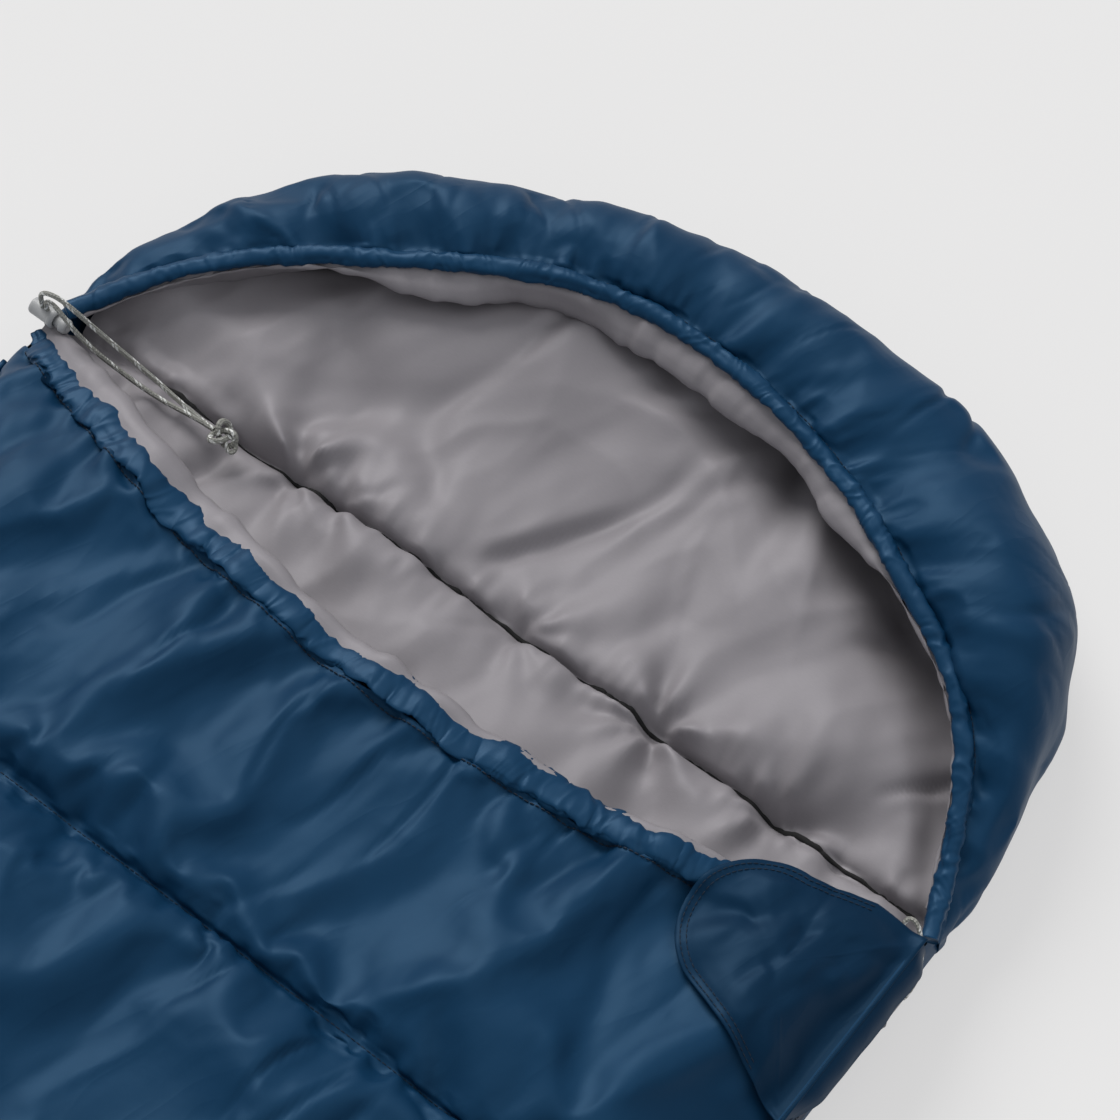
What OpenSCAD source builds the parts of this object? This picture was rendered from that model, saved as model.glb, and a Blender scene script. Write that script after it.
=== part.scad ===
// Hooded rectangular sleeping bag, closed and lying flat.
// Millimetres, +Z up. X runs across the bag, +Y towards the hood.

/* [Bag] */
// Half of the bag's width
half_w = 380; // [300:5:450]
// Foot end of the bag on Y, as a distance from the middle
foot_len = 1100; // [900:10:1200]
// Where the hood starts, measured from the middle
neck_y = 760; // [600:10:900]
// Rounding of the two foot corners
corner_r = 60; // [20:5:120]
// Height of the closed bag at its crown, twice the height of the side hinge
crown_h = 122; // [90:2:180]
// Thickness of the shell and lining cloth as modelled
cloth_t = 1.5; // [1:0.25:3]

/* [Back] */
// Height of the back panel at its sewn side edge
back_edge_z = 60; // [50:1:80]
// Height of the back lining's upper face
back_lining_z = 58; // [45:1:75]
// Rounding of the back panel's lower edges
low_r = 36; // [20:1:50]

/* [Front] */
// Lower edge of the front panel
front_z = 62; // [52:1:90]
// Upper corner of the front panel's side wall
front_side_z = 81; // [70:1:110]
// Crown of the front lining above the ground
front_roof_z = 85; // [66:1:110]
// Top edge of the front panel at mid width, measured from the neck line
bow_mid = 120; // [60:5:200]
// Top edge of the front panel at its corners, measured from the neck line
bow_end = 45; // [30:5:90]
// Radius of the front drawcord casing
front_hem_r = 10; // [6:0.5:14]

/* [Hood] */
// Length of the hood beyond the neck line
hood_len = 340; // [250:5:450]
// Length of the face opening beyond the neck line
mouth_len = 230; // [150:5:300]
// Height of the hood rim
rim_h = 115; // [90:1:140]
// Height of the hood rim at the neck corners
rim_low = 69; // [64:1:90]
// Radius of the hood drawcord casing
hood_hem_r = 8; // [5:0.5:12]

/* [Zip] */
// Top end of the zip chain, measured from the neck line
zip_top = 58; // [50:1:100]
// Length of the slider body
slider_len = 22; // [14:1:30]
// Length of the pull tab
pull_len = 24; // [14:1:40]

/* [Drawcord] */
// Diameter of the drawcord
cord_d = 3.6; // [2:0.1:5]
// Outside radius of the cord lock's barrel
lock_r = 6.5; // [5:0.5:9]
// Length of the cord lock's barrel
lock_len = 22; // [16:1:30]

/* [Hidden] */
$fn = 96;
navy = [0.10, 0.22, 0.38];
navy2 = [0.13, 0.27, 0.45];
grey = [0.60, 0.59, 0.60];
pale = [0.86, 0.85, 0.83];
dark = [0.08, 0.12, 0.20];
cordc = [0.62, 0.64, 0.58];

W = half_w;
t = cloth_t;
far = foot_len + 400;
neck_gap = 3;
back_end = neck_y - neck_gap;

// front arches: circles through the side edge and the crown
top_sag = crown_h - front_side_z;
top_R = (W*W + top_sag*top_sag) / (2*top_sag);
roof_sag = front_roof_z - front_z + 2;
roof_R = (W*W + roof_sag*roof_sag) / (2*roof_sag);
roof_side = 8;

// foot profiles: circles that rise above the arches, so that they cross them cleanly
foot_run = 110;
foot_over = 8;
foot_sag = top_sag + foot_over;
foot_R = (foot_run*foot_run + foot_sag*foot_sag) / (2*foot_sag);
foot_y = -foot_len + foot_run;
foot_top = crown_h + foot_over;
roof_run = 100;
roof_over = 5;
roof_foot_sag = roof_sag + roof_over;
roof_foot_R = (roof_run*roof_run + roof_foot_sag*roof_foot_sag) / (2*roof_foot_sag);
roof_top = front_roof_z + roof_over;

// the front edge is an arc of a circle in a plane that leans with the arch
bow_plan = bow_mid - bow_end;
bow_tilt = atan(top_sag / bow_plan);
bow_sag = sqrt(bow_plan*bow_plan + top_sag*top_sag);
bow_R = (W*W + bow_sag*bow_sag) / (2*bow_sag);
front_hem_R = bow_R - front_hem_r + 0.5;
front_hem_k = 6.5;
front_hem_a = asin(366 / front_hem_R);

// the face opening is an arc in a plane that rises to the hood's apex
rim_rise = (rim_h - rim_low) / mouth_len;
rim_tilt = atan(rim_rise);
mouth_half = 372;
mouth_in = sqrt(mouth_len*mouth_len + pow(rim_h - rim_low, 2));
mouth_R = (mouth_half*mouth_half + mouth_in*mouth_in) / (2*mouth_in);
hood_hem_R = mouth_R - hood_hem_r + 0.5;
hood_hem_k = 4;
hood_hem_a = 60.5;

// hood outline: the circle through both neck corners and the apex
hood_R = (W*W + hood_len*hood_len) / (2*hood_len);
hood_c = neck_y + hood_len - hood_R;
rim_wall = 38;
rim_roof_z = 78;
rim_round = 50;

// zip, measured outwards from the panel's side wall and up and down from the parting line
parting_z = crown_h / 2;
tape_a = 4;
tape_b = 4.8;
tape_low_h = 11.5;
tape_high_h = 7.5;
web_h = 5;
coil_a = 3.2;
coil_b = 5.6;
coil_gap = 1;
coil_h = 2.5;
coil_low_z = parting_z - coil_gap - coil_h;
coil_high_z = parting_z + coil_gap;
tape_low_z = coil_low_z - tape_low_h;
tape_high_z = coil_high_z + coil_h;
web_high_z = tape_high_z + tape_high_h - web_h;
stop_len = 3.5;
stop_wide = 3;
end_stop_len = 4;
zip_y = neck_y - zip_top;
zip_end_x = -320;

// slider: an outer and an inner plate joined by a web that runs between the coils
slider_y1 = zip_y - 6;
slider_y0 = slider_y1 - slider_len;
plate_h = 14;
plate_z = parting_z - plate_h / 2;
outer_plate_x = W + 6;
outer_plate_t = 1.6;
inner_plate_x = W + 1;
inner_plate_t = 1.8;
inner_plate_h = web_high_z - 0.5 - plate_z;
slider_web_t = 1.2;
slider_web_len = 8;
lug_t = 2.5;
lug_wide = 4;
lug_out = 4.6;
lug_z = [plate_z + 1, plate_z + 10.5];
pin_r = 1.1;
pin_len = 10;

// pull tab and its cord loop
pivot_x = W + 10.4;
pivot_y = slider_y1 - 7;
tab_h = 6;
tab_t = 1.6;
tab_hub_r = 2.4;
tab_bore_r = 1.5;
tab_hole_r = 2.5;
tab_hole_in = 2.7;
loop_R = 8.1;
loop_r = 1.25;
loop_x = pivot_x + 5.1;
loop_y = pivot_y + pull_len + 4.75;

// drawcord lock: a barrel with a collar, and a plunger inside it, both slotted for the two strands
lock_x = -366;
lock_y = neck_y - 17;
lock_z = 82;
lock_x0 = lock_x - lock_len / 2 - 1;
collar_x = lock_x + lock_len / 2 - 4.5;
collar_len = 2.5;
collar_over = 0.7;
lock_bore_r = 4.8;
lock_wall = 2;
plunger_r = 4.4;
plunger_len = 20;
plunger_x = lock_x - 5.5;
cap_r = 5.6;
cap_len = 6.5;
cord_slot = 4.6;
barrel_slot_len = 9.2;
plunger_slot_len = 12.6;
cr = cord_d / 2;

// piping on the closed side, between the two panels
piping_r = 2.5;
piping_out = 3;
piping_y0 = -foot_len + corner_r;
piping_len = neck_y - bow_end - 8 - piping_y0;

// flap over the top of the zip, measured back from the neck line
flap_x = 305;
flap_r = 55;
flap_y0 = neck_y - 175;
flap_y1 = neck_y - 25;
flap_side_x = W + 0.6;
flap_over = 5;
flap_t = 1.2;
flap_corner = [372, flap_y0];
flap_tangent = [280.5, neck_y - 129];
patch_x = 290;
patch_y = neck_y - 115;
patch_wide = 20;
patch_long = 25;
patch_gap = 0.3;

// ---------- shared shapes ----------
module plan2d(i, y1) {
  r = corner_r;
  translate([-W + i, -foot_len + r]) square([2*(W - i), y1 + foot_len - r]);
  translate([-W + r, -foot_len + i]) square([2*(W - r), r - i + 1]);
  for (s = [-1, 1]) translate([s*(W - r), -foot_len + r]) circle(r = r - i);
}

// extrude a YZ profile along X, and an XZ profile along Y
module along_x() { translate([-far, 0, 0]) rotate([90, 0, 90]) linear_extrude(2*far) children(); }
module along_y() { translate([0, far, 0]) rotate([90, 0, 0]) linear_extrude(2*far) children(); }

module back_env(i, z1) {
  r = low_r - i;
  intersection() {
    linear_extrude(z1) plan2d(i, back_end);
    along_y() union() {
      translate([-W + low_r, i]) square([2*(W - low_r), z1 - i]);
      translate([-W + i, low_r]) square([2*(W - i), z1 - low_r]);
      for (s = [-1, 1]) translate([s*(W - low_r), low_r]) circle(r = r);
    }
    along_x() union() {
      translate([-foot_len + low_r, i]) square([2*far, z1 - i]);
      translate([-foot_len + i, low_r]) square([2*far, z1 - low_r]);
      translate([-foot_len + low_r, low_r]) circle(r = r);
    }
  }
}

module bow_frame() {
  translate([0, neck_y - bow_mid, crown_h]) rotate([-bow_tilt, 0, 0]) translate([0, bow_R, 0]) children();
}

module front_env(i, z0 = front_z) {
  difference() {
    intersection() {
      translate([0, 0, z0]) linear_extrude(crown_h - z0 + 10) plan2d(i, neck_y + i);
      along_y() intersection() {
        translate([0, crown_h - top_R]) circle(r = top_R - i, $fn = 720);
        translate([-W - 5, 0]) square([2*W + 10, crown_h + 5]);
      }
      along_x() union() {
        translate([foot_y, 0]) square([2*far, foot_top + 10]);
        translate([foot_y, foot_top - foot_R]) circle(r = foot_R - i);
      }
    }
    bow_frame() cylinder(r = bow_R + i, h = 900, center = true, $fn = 360);
  }
}

module front_hollow(i) {
  intersection() {
    along_y() intersection() {
      translate([0, front_roof_z - roof_R]) circle(r = roof_R + i, $fn = 720);
      translate([-W + roof_side, 0]) square([2*(W - roof_side), crown_h]);
    }
    along_x() union() {
      translate([foot_y, 0]) square([2*far, crown_h]);
      translate([foot_y, roof_top - roof_foot_R]) circle(r = roof_foot_R + i);
    }
  }
}

// arch skin over the front panel between two heights above its shell
module arch_skin(a, b) {
  along_y() intersection() {
    difference() {
      translate([0, crown_h - top_R]) circle(r = top_R + b, $fn = 720);
      translate([0, crown_h - top_R]) circle(r = top_R + a, $fn = 720);
    }
    translate([0, 40]) square([W + 20, crown_h]);
  }
}

module zip_ring(a, b, z0, z1, y0, y1) {
  translate([0, 0, z0]) linear_extrude(z1 - z0) intersection() {
    difference() { plan2d(-b, neck_y); plan2d(-a, neck_y + 1); }
    translate([zip_end_x, y0]) square([W - zip_end_x + 20, y1 - y0]);
  }
}

module hood_low(i, z1) {
  r = low_r - i;
  translate([0, hood_c, 0]) rotate_extrude() union() {
    translate([0, i]) square([hood_R - low_r, z1 - i]);
    translate([0, low_r]) square([hood_R - i, z1 - low_r]);
    intersection() {
      translate([hood_R - low_r, low_r]) circle(r = r);
      square([hood_R, z1]);
    }
  }
}

module hood_high(i) {
  r = rim_round - i;
  translate([0, hood_c, 0]) rotate_extrude() union() {
    square([hood_R - rim_round, rim_h - i]);
    square([hood_R - i, rim_h - rim_round]);
    intersection() {
      translate([hood_R - rim_round, rim_h - rim_round]) circle(r = r);
      square([hood_R, rim_h]);
    }
  }
}

module hood_half(z0) { translate([-500, neck_y, z0]) cube([1000, 500, 300]); }

module rim_under(i) {
  translate([0, neck_y, rim_low - i]) rotate([rim_tilt, 0, 0]) translate([-500, -100, -300]) cube([1000, 700, 300]);
}

module mouth_frame() {
  translate([0, neck_y + mouth_len, rim_h]) rotate([rim_tilt, 0, 0]) translate([0, -mouth_R, 0]) children();
}

module mouth(i) { mouth_frame() cylinder(r = mouth_R + i, h = 600, center = true, $fn = 360); }

module rim_hollow(i) {
  translate([0, hood_c, back_lining_z - 1]) cylinder(r = hood_R - rim_wall + i, h = rim_roof_z + i - back_lining_z + 1, $fn = 360);
}

// cord: rings of eight points swept along a route
function unit(v) = v / norm(v);
function tang(p, i) = unit(p[min(i + 1, len(p) - 1)] - p[max(i - 1, 0)]);
module cord(p, r) {
  n = 8;
  m = len(p);
  pts = [for (i = [0:m - 1]) let (d = tang(p, i), v = unit(cross(d, [0, 1, 0])), u = cross(v, d))
         for (k = [0:n - 1]) p[i] + r*cos(45*k)*u + r*sin(45*k)*v];
  side = [for (i = [0:m - 2]) for (k = [0:n - 1]) [i*n + k, i*n + (k + 1) % n, (i + 1)*n + (k + 1) % n, (i + 1)*n + k]];
  polyhedron(points = pts, faces = concat([[for (k = [n - 1:-1:0]) k]], side, [[for (k = [0:n - 1]) (m - 1)*n + k]]), convexity = 6);
}

// routes of the two free strands: up through the lock, over, down to the lining, to the knot
route_a = [
  [-368.1, 743, 58], [-368.1, 743, 66], [-368.1, 743, 75], [-368.1, 743, 84], [-368.1, 743, 93],
  [-368.1, 743, 99], [-366.6, 743, 106], [-361, 743.5, 112], [-352, 745, 113.5], [-343, 746, 109.5],
  [-335, 747.5, 103], [-328, 748.5, 95.5], [-321, 749.5, 88], [-313, 750.5, 80.5], [-304, 751.5, 74],
  [-294, 752, 68.5], [-283, 752.5, 64.5], [-271, 752.5, 62], [-259, 752.5, 61], [-248, 752, 62],
  [-238, 751.5, 64.5], [-230, 751, 67]
];
route_b = [
  [-363.9, 743, 58], [-363.9, 743, 66], [-363.9, 743, 75], [-363.9, 743, 84], [-363.9, 743, 92],
  [-363.4, 743, 98.5], [-359.5, 742, 104], [-352.5, 741, 106], [-345.5, 740, 102.5],
  [-339, 739.5, 95.5], [-333, 740, 88], [-326, 741.5, 80.5], [-317, 743, 73.5], [-307, 744.5, 67.5],
  [-296, 745.5, 63.5], [-284, 746, 61.5], [-272, 746.5, 61], [-260, 746.5, 61.5],
  [-248, 746.5, 63], [-238, 746.5, 65], [-230, 746.5, 67]
];

// ---------- back panel ----------
module back_shell() { color(navy) difference() { back_env(0, back_edge_z); back_env(t, back_edge_z + 1); } }
module back_fill() { color(pale) back_env(t, back_lining_z - t); }
module back_lining() {
  color(grey) intersection() {
    back_env(t, back_lining_z);
    translate([-500, -far, back_lining_z - t]) cube([1000, 2*far, t]);
  }
}
module side_piping() {
  color(dark) {
    translate([-W - piping_out, piping_y0, parting_z]) rotate([-90, 0, 0]) cylinder(r = piping_r, h = piping_len, $fn = 24);
    translate([-W - 1, piping_y0, back_edge_z - 10]) cube([1, piping_len, 8]);
    translate([-W - piping_out, piping_y0, back_edge_z - piping_r]) cube([piping_out, piping_len, 2]);
  }
}
module zip_tape_back() {
  color(dark) {
    zip_ring(tape_a, tape_b, tape_low_z, coil_low_z, -far, zip_y);
    zip_ring(0, tape_b, tape_low_z - web_h, tape_low_z, -far, zip_y);
  }
}
module zip_coil_back() { color(dark) zip_ring(coil_a, coil_b, coil_low_z, coil_low_z + coil_h, -far, zip_y - stop_len); }
module top_stop(z) { translate([W + coil_a, zip_y - stop_len, z]) cube([stop_wide, stop_len, coil_h]); }
module end_stop(z) { translate([zip_end_x - end_stop_len, -foot_len - coil_a - stop_wide, z]) cube([end_stop_len, stop_wide, coil_h]); }
module zip_top_stop_back() { color(dark) top_stop(coil_low_z); }
module zip_bottom_stop_back() { color(dark) end_stop(coil_low_z); }
module cord_strand_a() { color(cordc) cord(route_a, cr); }
module cord_strand_b() { color(cordc) cord(route_b, cr); }
module cord_knot() { color(cordc) translate([-222, 747, back_lining_z + 9.5]) sphere(r = 9.5, $fn = 32); }

// ---------- front panel ----------
module front_shell() { color(navy2) difference() { front_env(0); front_hollow(0); front_env(t, front_z - 10); } }
module front_fill() { color(pale) difference() { front_env(t); front_hollow(t); } }
module front_lining() { color(grey) difference() { intersection() { front_env(t); front_hollow(t); } front_hollow(0); } }
module front_arc(r, k, rr, a) {
  bow_frame() translate([0, 0, k]) rotate([0, 0, 270 - a]) rotate_extrude(angle = 2*a, $fn = 360) translate([r, 0]) circle(r = rr, $fn = 32);
}
module front_hem() {
  color(navy2) bow_frame() translate([0, 0, -front_hem_k]) rotate([0, 0, 270 - front_hem_a])
    rotate_extrude(angle = 2*front_hem_a, $fn = 360) translate([front_hem_R, 0]) difference() {
      circle(r = front_hem_r, $fn = 32);
      circle(r = front_hem_r - 1.5, $fn = 32);
    }
}
module front_drawcord() { color(cordc) front_arc(front_hem_R, -front_hem_k - front_hem_r + 1.5 + cr - 0.1, cr, front_hem_a); }
module zip_tape_front() {
  color(dark) {
    zip_ring(tape_a, tape_b, tape_high_z, tape_high_z + tape_high_h, -far, zip_y);
    zip_ring(0, tape_b, web_high_z, web_high_z + web_h, -far, zip_y - 4);
  }
}
module zip_coil_front() { color(dark) zip_ring(coil_a, coil_b, coil_high_z, coil_high_z + coil_h, -far, zip_y - stop_len); }
module zip_top_stop_front() { color(dark) top_stop(coil_high_z); }
module zip_bottom_stop_front() { color(dark) end_stop(coil_high_z); }
module flap_seam() { color(navy2) translate([W, flap_y0, 74]) cube([1.2, flap_y1 - flap_y0, front_side_z + flap_over - 1.5 - 74]); }
module patch_block() { translate([patch_x, patch_y, parting_z]) cube([patch_wide, patch_long, parting_z]); }
module flap_loop_patch() { color(dark) intersection() { arch_skin(0, 1); patch_block(); } }

// ---------- zip flap ----------
module flap_block() {
  translate([0, 0, parting_z]) union() {
    translate([flap_x, flap_y1 - flap_r, 0]) cylinder(r = flap_r, h = 70);
    linear_extrude(70) polygon([
      [flap_x, flap_y1], [flap_side_x, flap_y1], [flap_side_x, flap_y0],
      flap_corner, flap_tangent, [flap_x, flap_y1 - flap_r]
    ]);
  }
}
module zip_flap() { color(navy2) intersection() { arch_skin(flap_over, flap_over + flap_t); flap_block(); } }
module flap_hook_patch() { color(dark) intersection() { arch_skin(1 + patch_gap, flap_over); patch_block(); } }

// ---------- hood ----------
module hood_pad_shell() {
  color(navy) intersection() { difference() { hood_low(0, back_edge_z); hood_low(t, back_edge_z + 1); } hood_half(0); }
}
module hood_pad_fill() { color(pale) intersection() { hood_low(t, back_lining_z - t); hood_half(0); } }
module hood_pad_lining() { color(grey) intersection() { hood_low(t, back_lining_z); hood_half(back_lining_z - t); } }
module hood_rim_shell() {
  color(navy2) difference() {
    intersection() { hood_high(0); rim_under(0); hood_half(back_edge_z); }
    intersection() { hood_high(t); rim_under(t); }
    mouth(0);
  }
}
module hood_rim_fill() {
  color(pale) difference() {
    intersection() { hood_high(t); rim_under(t); hood_half(back_lining_z); }
    mouth(t);
    rim_hollow(t);
  }
}
module hood_rim_lining() {
  color(grey) difference() {
    intersection() {
      hood_high(t); rim_under(t); hood_half(back_lining_z);
      union() { mouth(t); rim_hollow(t); }
    }
    mouth(0);
    rim_hollow(0);
  }
}
module hood_hem() {
  color(navy2) mouth_frame() translate([0, 0, -hood_hem_k]) rotate([0, 0, 90 - hood_hem_a])
    rotate_extrude(angle = 2*hood_hem_a, $fn = 360) translate([hood_hem_R, 0]) difference() {
      circle(r = hood_hem_r, $fn = 32);
      circle(r = hood_hem_r - 1.5, $fn = 32);
    }
}
module hood_drawcord() {
  color(cordc) mouth_frame() translate([0, 0, -hood_hem_k - hood_hem_r + 1.5 + cr - 0.1]) rotate([0, 0, 90 - hood_hem_a])
    rotate_extrude(angle = 2*hood_hem_a, $fn = 360) translate([hood_hem_R, 0]) circle(r = cr, $fn = 24);
}

// ---------- zip slider and pull ----------
module zip_slider() {
  color([0.25, 0.26, 0.28]) {
    translate([outer_plate_x, slider_y0, plate_z]) cube([outer_plate_t, slider_len, plate_h]);
    translate([inner_plate_x, slider_y0, plate_z]) cube([inner_plate_t, slider_len, inner_plate_h]);
    translate([inner_plate_x + 1.5, slider_y1 - 10, parting_z - slider_web_t/2]) cube([3.8, slider_web_len, slider_web_t]);
    for (z = lug_z) translate([outer_plate_x + 1, pivot_y - lug_wide/2, z]) cube([lug_out, lug_wide, lug_t]);
    translate([pivot_x, pivot_y, parting_z - pin_len/2]) cylinder(r = pin_r, h = pin_len, $fn = 24);
  }
}
module pull_tab() {
  color([0.25, 0.26, 0.28]) difference() {
    union() {
      translate([pivot_x, pivot_y, parting_z - tab_h/2]) cylinder(r = tab_hub_r, h = tab_h, $fn = 32);
      translate([pivot_x - tab_t/2, pivot_y, parting_z - tab_h/2]) cube([tab_t, pull_len + 2, tab_h]);
    }
    translate([pivot_x, pivot_y, parting_z - 4]) cylinder(r = tab_bore_r, h = 8, $fn = 32);
    translate([pivot_x - 2, pivot_y + pull_len - tab_hole_in, parting_z]) rotate([0, 90, 0]) cylinder(r = tab_hole_r, h = 4, $fn = 32);
  }
}
module pull_cord_loop() {
  color(cordc) translate([loop_x, loop_y, parting_z]) rotate_extrude($fn = 48) translate([loop_R, 0]) circle(r = loop_r, $fn = 24);
}

// ---------- cord lock ----------
module rod_x(x, r, h) { translate([x, lock_y, lock_z]) rotate([0, 90, 0]) cylinder(r = r, h = h, $fn = 48); }
module cord_way(x, len) { translate([x, lock_y - cord_slot/2, lock_z - 20]) cube([len, cord_slot, 40]); }
module lock_barrel() {
  color([0.62, 0.62, 0.63]) difference() {
    union() {
      rod_x(lock_x0, lock_r, lock_len);
      rod_x(collar_x, lock_r + collar_over, collar_len);
    }
    rod_x(lock_x0 + lock_wall, lock_bore_r, lock_len);
    cord_way(lock_x - barrel_slot_len/2, barrel_slot_len);
  }
}
module lock_plunger() {
  color([0.55, 0.55, 0.56]) difference() {
    union() {
      rod_x(plunger_x, plunger_r, plunger_len);
      rod_x(plunger_x + plunger_len, cap_r, cap_len);
    }
    cord_way(lock_x - 4.3, plunger_slot_len);
  }
}

back_shell();
back_fill();
back_lining();
side_piping();
zip_tape_back();
zip_coil_back();
zip_top_stop_back();
zip_bottom_stop_back();
cord_strand_a();
cord_strand_b();
cord_knot();
front_shell();
front_fill();
front_lining();
front_hem();
front_drawcord();
zip_tape_front();
zip_coil_front();
zip_top_stop_front();
zip_bottom_stop_front();
flap_seam();
flap_loop_patch();
zip_flap();
flap_hook_patch();
hood_pad_shell();
hood_pad_fill();
hood_pad_lining();
hood_rim_shell();
hood_rim_fill();
hood_rim_lining();
hood_hem();
hood_drawcord();
zip_slider();
pull_tab();
pull_cord_loop();
lock_barrel();
lock_plunger();
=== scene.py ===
"""Visual model of the hooded sleeping bag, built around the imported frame. Metres, +Z up."""
import math

import bpy
import numpy as np
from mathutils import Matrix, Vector
from mathutils.bvhtree import BVHTree


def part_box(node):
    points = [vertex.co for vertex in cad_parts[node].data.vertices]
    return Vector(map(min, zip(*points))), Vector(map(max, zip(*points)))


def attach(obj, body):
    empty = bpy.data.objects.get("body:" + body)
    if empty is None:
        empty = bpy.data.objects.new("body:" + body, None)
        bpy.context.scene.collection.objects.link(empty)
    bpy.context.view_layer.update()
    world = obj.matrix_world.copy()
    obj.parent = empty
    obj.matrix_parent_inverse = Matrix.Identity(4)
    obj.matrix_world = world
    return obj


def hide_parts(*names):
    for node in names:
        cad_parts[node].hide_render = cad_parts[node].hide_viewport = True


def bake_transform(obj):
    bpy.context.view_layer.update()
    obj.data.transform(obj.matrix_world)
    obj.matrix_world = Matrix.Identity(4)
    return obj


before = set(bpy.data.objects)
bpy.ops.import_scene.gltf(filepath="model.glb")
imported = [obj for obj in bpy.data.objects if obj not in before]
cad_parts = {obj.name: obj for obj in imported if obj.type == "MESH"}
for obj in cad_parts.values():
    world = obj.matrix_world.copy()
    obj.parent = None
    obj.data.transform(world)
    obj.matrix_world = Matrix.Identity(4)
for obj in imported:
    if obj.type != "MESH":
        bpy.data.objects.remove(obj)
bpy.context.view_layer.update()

# ---- sizes from the frame
HALF_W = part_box("back_shell")[1][0]
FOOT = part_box("back_shell")[0][1]
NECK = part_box("hood_pad_shell")[0][1]
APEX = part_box("hood_rim_shell")[1][1]
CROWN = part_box("front_shell")[1][2]
FRONT_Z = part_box("front_shell")[0][2]
BACK_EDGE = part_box("back_shell")[1][2]
LINING_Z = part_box("back_lining")[1][2]
# Radius of the foot corners, and the length and half width of the face opening.
FOOT_R = 0.060
MOUTH_LEN, MOUTH_HALF = 0.232, 0.372
QUILT_STEP = 0.30
QUILT_Y = [NECK - QUILT_STEP * k for k in range(1, 7)]
# The front hem's width, the lowest the cloth may lie, and the highest it may puff up.
HEM_BACK = 0.024
GROUND = 0.0008
LOFT = CROWN + 0.010
UP = np.array([0, 0, 1.0])

# ---- small maths


def smooth(a, b, x):
    """0 below a, 1 above b, smooth between."""
    t = np.clip((np.asarray(x, float) - a) / (b - a), 0, 1)
    return t * t * (3 - 2 * t)


def noise(x, y, size, seed):
    """Smooth value noise from -1 to 1 with cells of that size."""
    gx, gy = np.asarray(x) / size, np.asarray(y) / size
    ix, iy = np.floor(gx), np.floor(gy)
    fx, fy = gx - ix, gy - iy
    fx, fy = fx * fx * (3 - 2 * fx), fy * fy * (3 - 2 * fy)

    def corner(a, b):
        n = np.sin(a * 127.1 + b * 311.7 + seed * 74.7) * 43758.5453
        return 2 * (n - np.floor(n)) - 1

    low = corner(ix, iy) * (1 - fx) + corner(ix + 1, iy) * fx
    high = corner(ix, iy + 1) * (1 - fx) + corner(ix + 1, iy + 1) * fx
    return low * (1 - fy) + high * fy


def fbm(x, y, size, seed, octaves=3):
    """Noise with finer layers of half the size and strength."""
    total = 0
    for k in range(octaves):
        total += noise(x, y, size / 2**k, seed + 13 * k) / 2**k
    return total


def grain(x, y, heading, wander, reach, seed):
    """Distances along and across a heading (degrees from +X), with the lines wandering a little."""
    a = math.radians(heading)
    u = x * math.cos(a) + y * math.sin(a)
    v = y * math.cos(a) - x * math.sin(a)
    return u, v + wander * noise(u, v, reach, seed + 2)


def folds(x, y, heading, across, along, seed):
    """Long soft folds that run along a heading, about -1 to 1."""
    u, v = grain(x, y, heading, 0.35 * across, along * 0.6, seed)
    soft = noise(v / across * along, u, along, seed)
    crease = 0.5 - np.abs(noise(v / across * along * 0.8, u, along, seed + 7))
    return 0.75 * soft + 0.9 * crease


def creases(x, y, heading, across, along, seed, width=0.16):
    """Narrow valley lines along a heading, 1 on a line; a slow mask leaves gaps between them."""
    u, v = grain(x, y, heading, 0.40 * across, along * 0.5, seed)
    line = np.exp(-((noise(v / across * along, u, along, seed) / width) ** 2))
    return line * np.clip(0.25 + 1.3 * noise(x, y, along * 0.7, seed + 4), 0, 1)


def near(distance, reach):
    """1 at no distance, fading out over the reach."""
    return np.exp(-np.abs(distance) / reach)


def bell(x, middle, width):
    """A smooth bump, 1 at the middle."""
    return np.exp(-(((x - middle) / width) ** 2))


def run_of(path):
    """Distance along a path at each of its points."""
    return np.concatenate([[0], np.cumsum(np.linalg.norm(np.diff(path, axis=0), axis=1))])


def resample(curve, count):
    """The same open curve as count points at even spacing."""
    curve = np.asarray(curve, float)
    at = run_of(curve)
    want = np.linspace(0, at[-1], count)
    return np.stack([np.interp(want, at, column) for column in curve.T], 1)


def upsample(grid):
    """Twice as many points each way, by a cubic through the old ones."""
    for axis in (0, 1):
        g = np.moveaxis(grid, axis, 0)
        before = np.concatenate([2 * g[:1] - g[1:2], g, 2 * g[-1:] - g[-2:-1]])
        middle = (-before[:-3] + 9 * before[1:-2] + 9 * before[2:-1] - before[3:]) / 16
        out = np.empty((2 * len(g) - 1,) + g.shape[1:])
        out[0::2] = g
        out[1::2] = middle
        grid = np.moveaxis(out, 0, axis)
    return grid


def unit(vectors):
    """Vectors made one long."""
    return vectors / np.maximum(np.linalg.norm(vectors, axis=-1, keepdims=True), 1e-12)


def normals(grid):
    """Unit normals of a grid of points."""
    return unit(np.cross(np.gradient(grid, axis=0), np.gradient(grid, axis=1)))


# ---- mesh builders


def make_object(name, verts, faces, uvs=None):
    """A smooth-shaded mesh object, with one UV pair per vertex if given."""
    mesh = bpy.data.meshes.new(name)
    mesh.from_pydata([tuple(v) for v in verts], [], [tuple(f) for f in faces])
    mesh.validate()
    mesh.shade_smooth()
    if uvs is not None:
        layer = mesh.uv_layers.new(name="UVMap")
        loops = np.empty(len(mesh.loops), int)
        mesh.loops.foreach_get("vertex_index", loops)
        layer.data.foreach_set("uv", np.asarray(uvs, float)[loops].ravel())
    obj = bpy.data.objects.new(name, mesh)
    bpy.context.scene.collection.objects.link(obj)
    return obj


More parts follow.
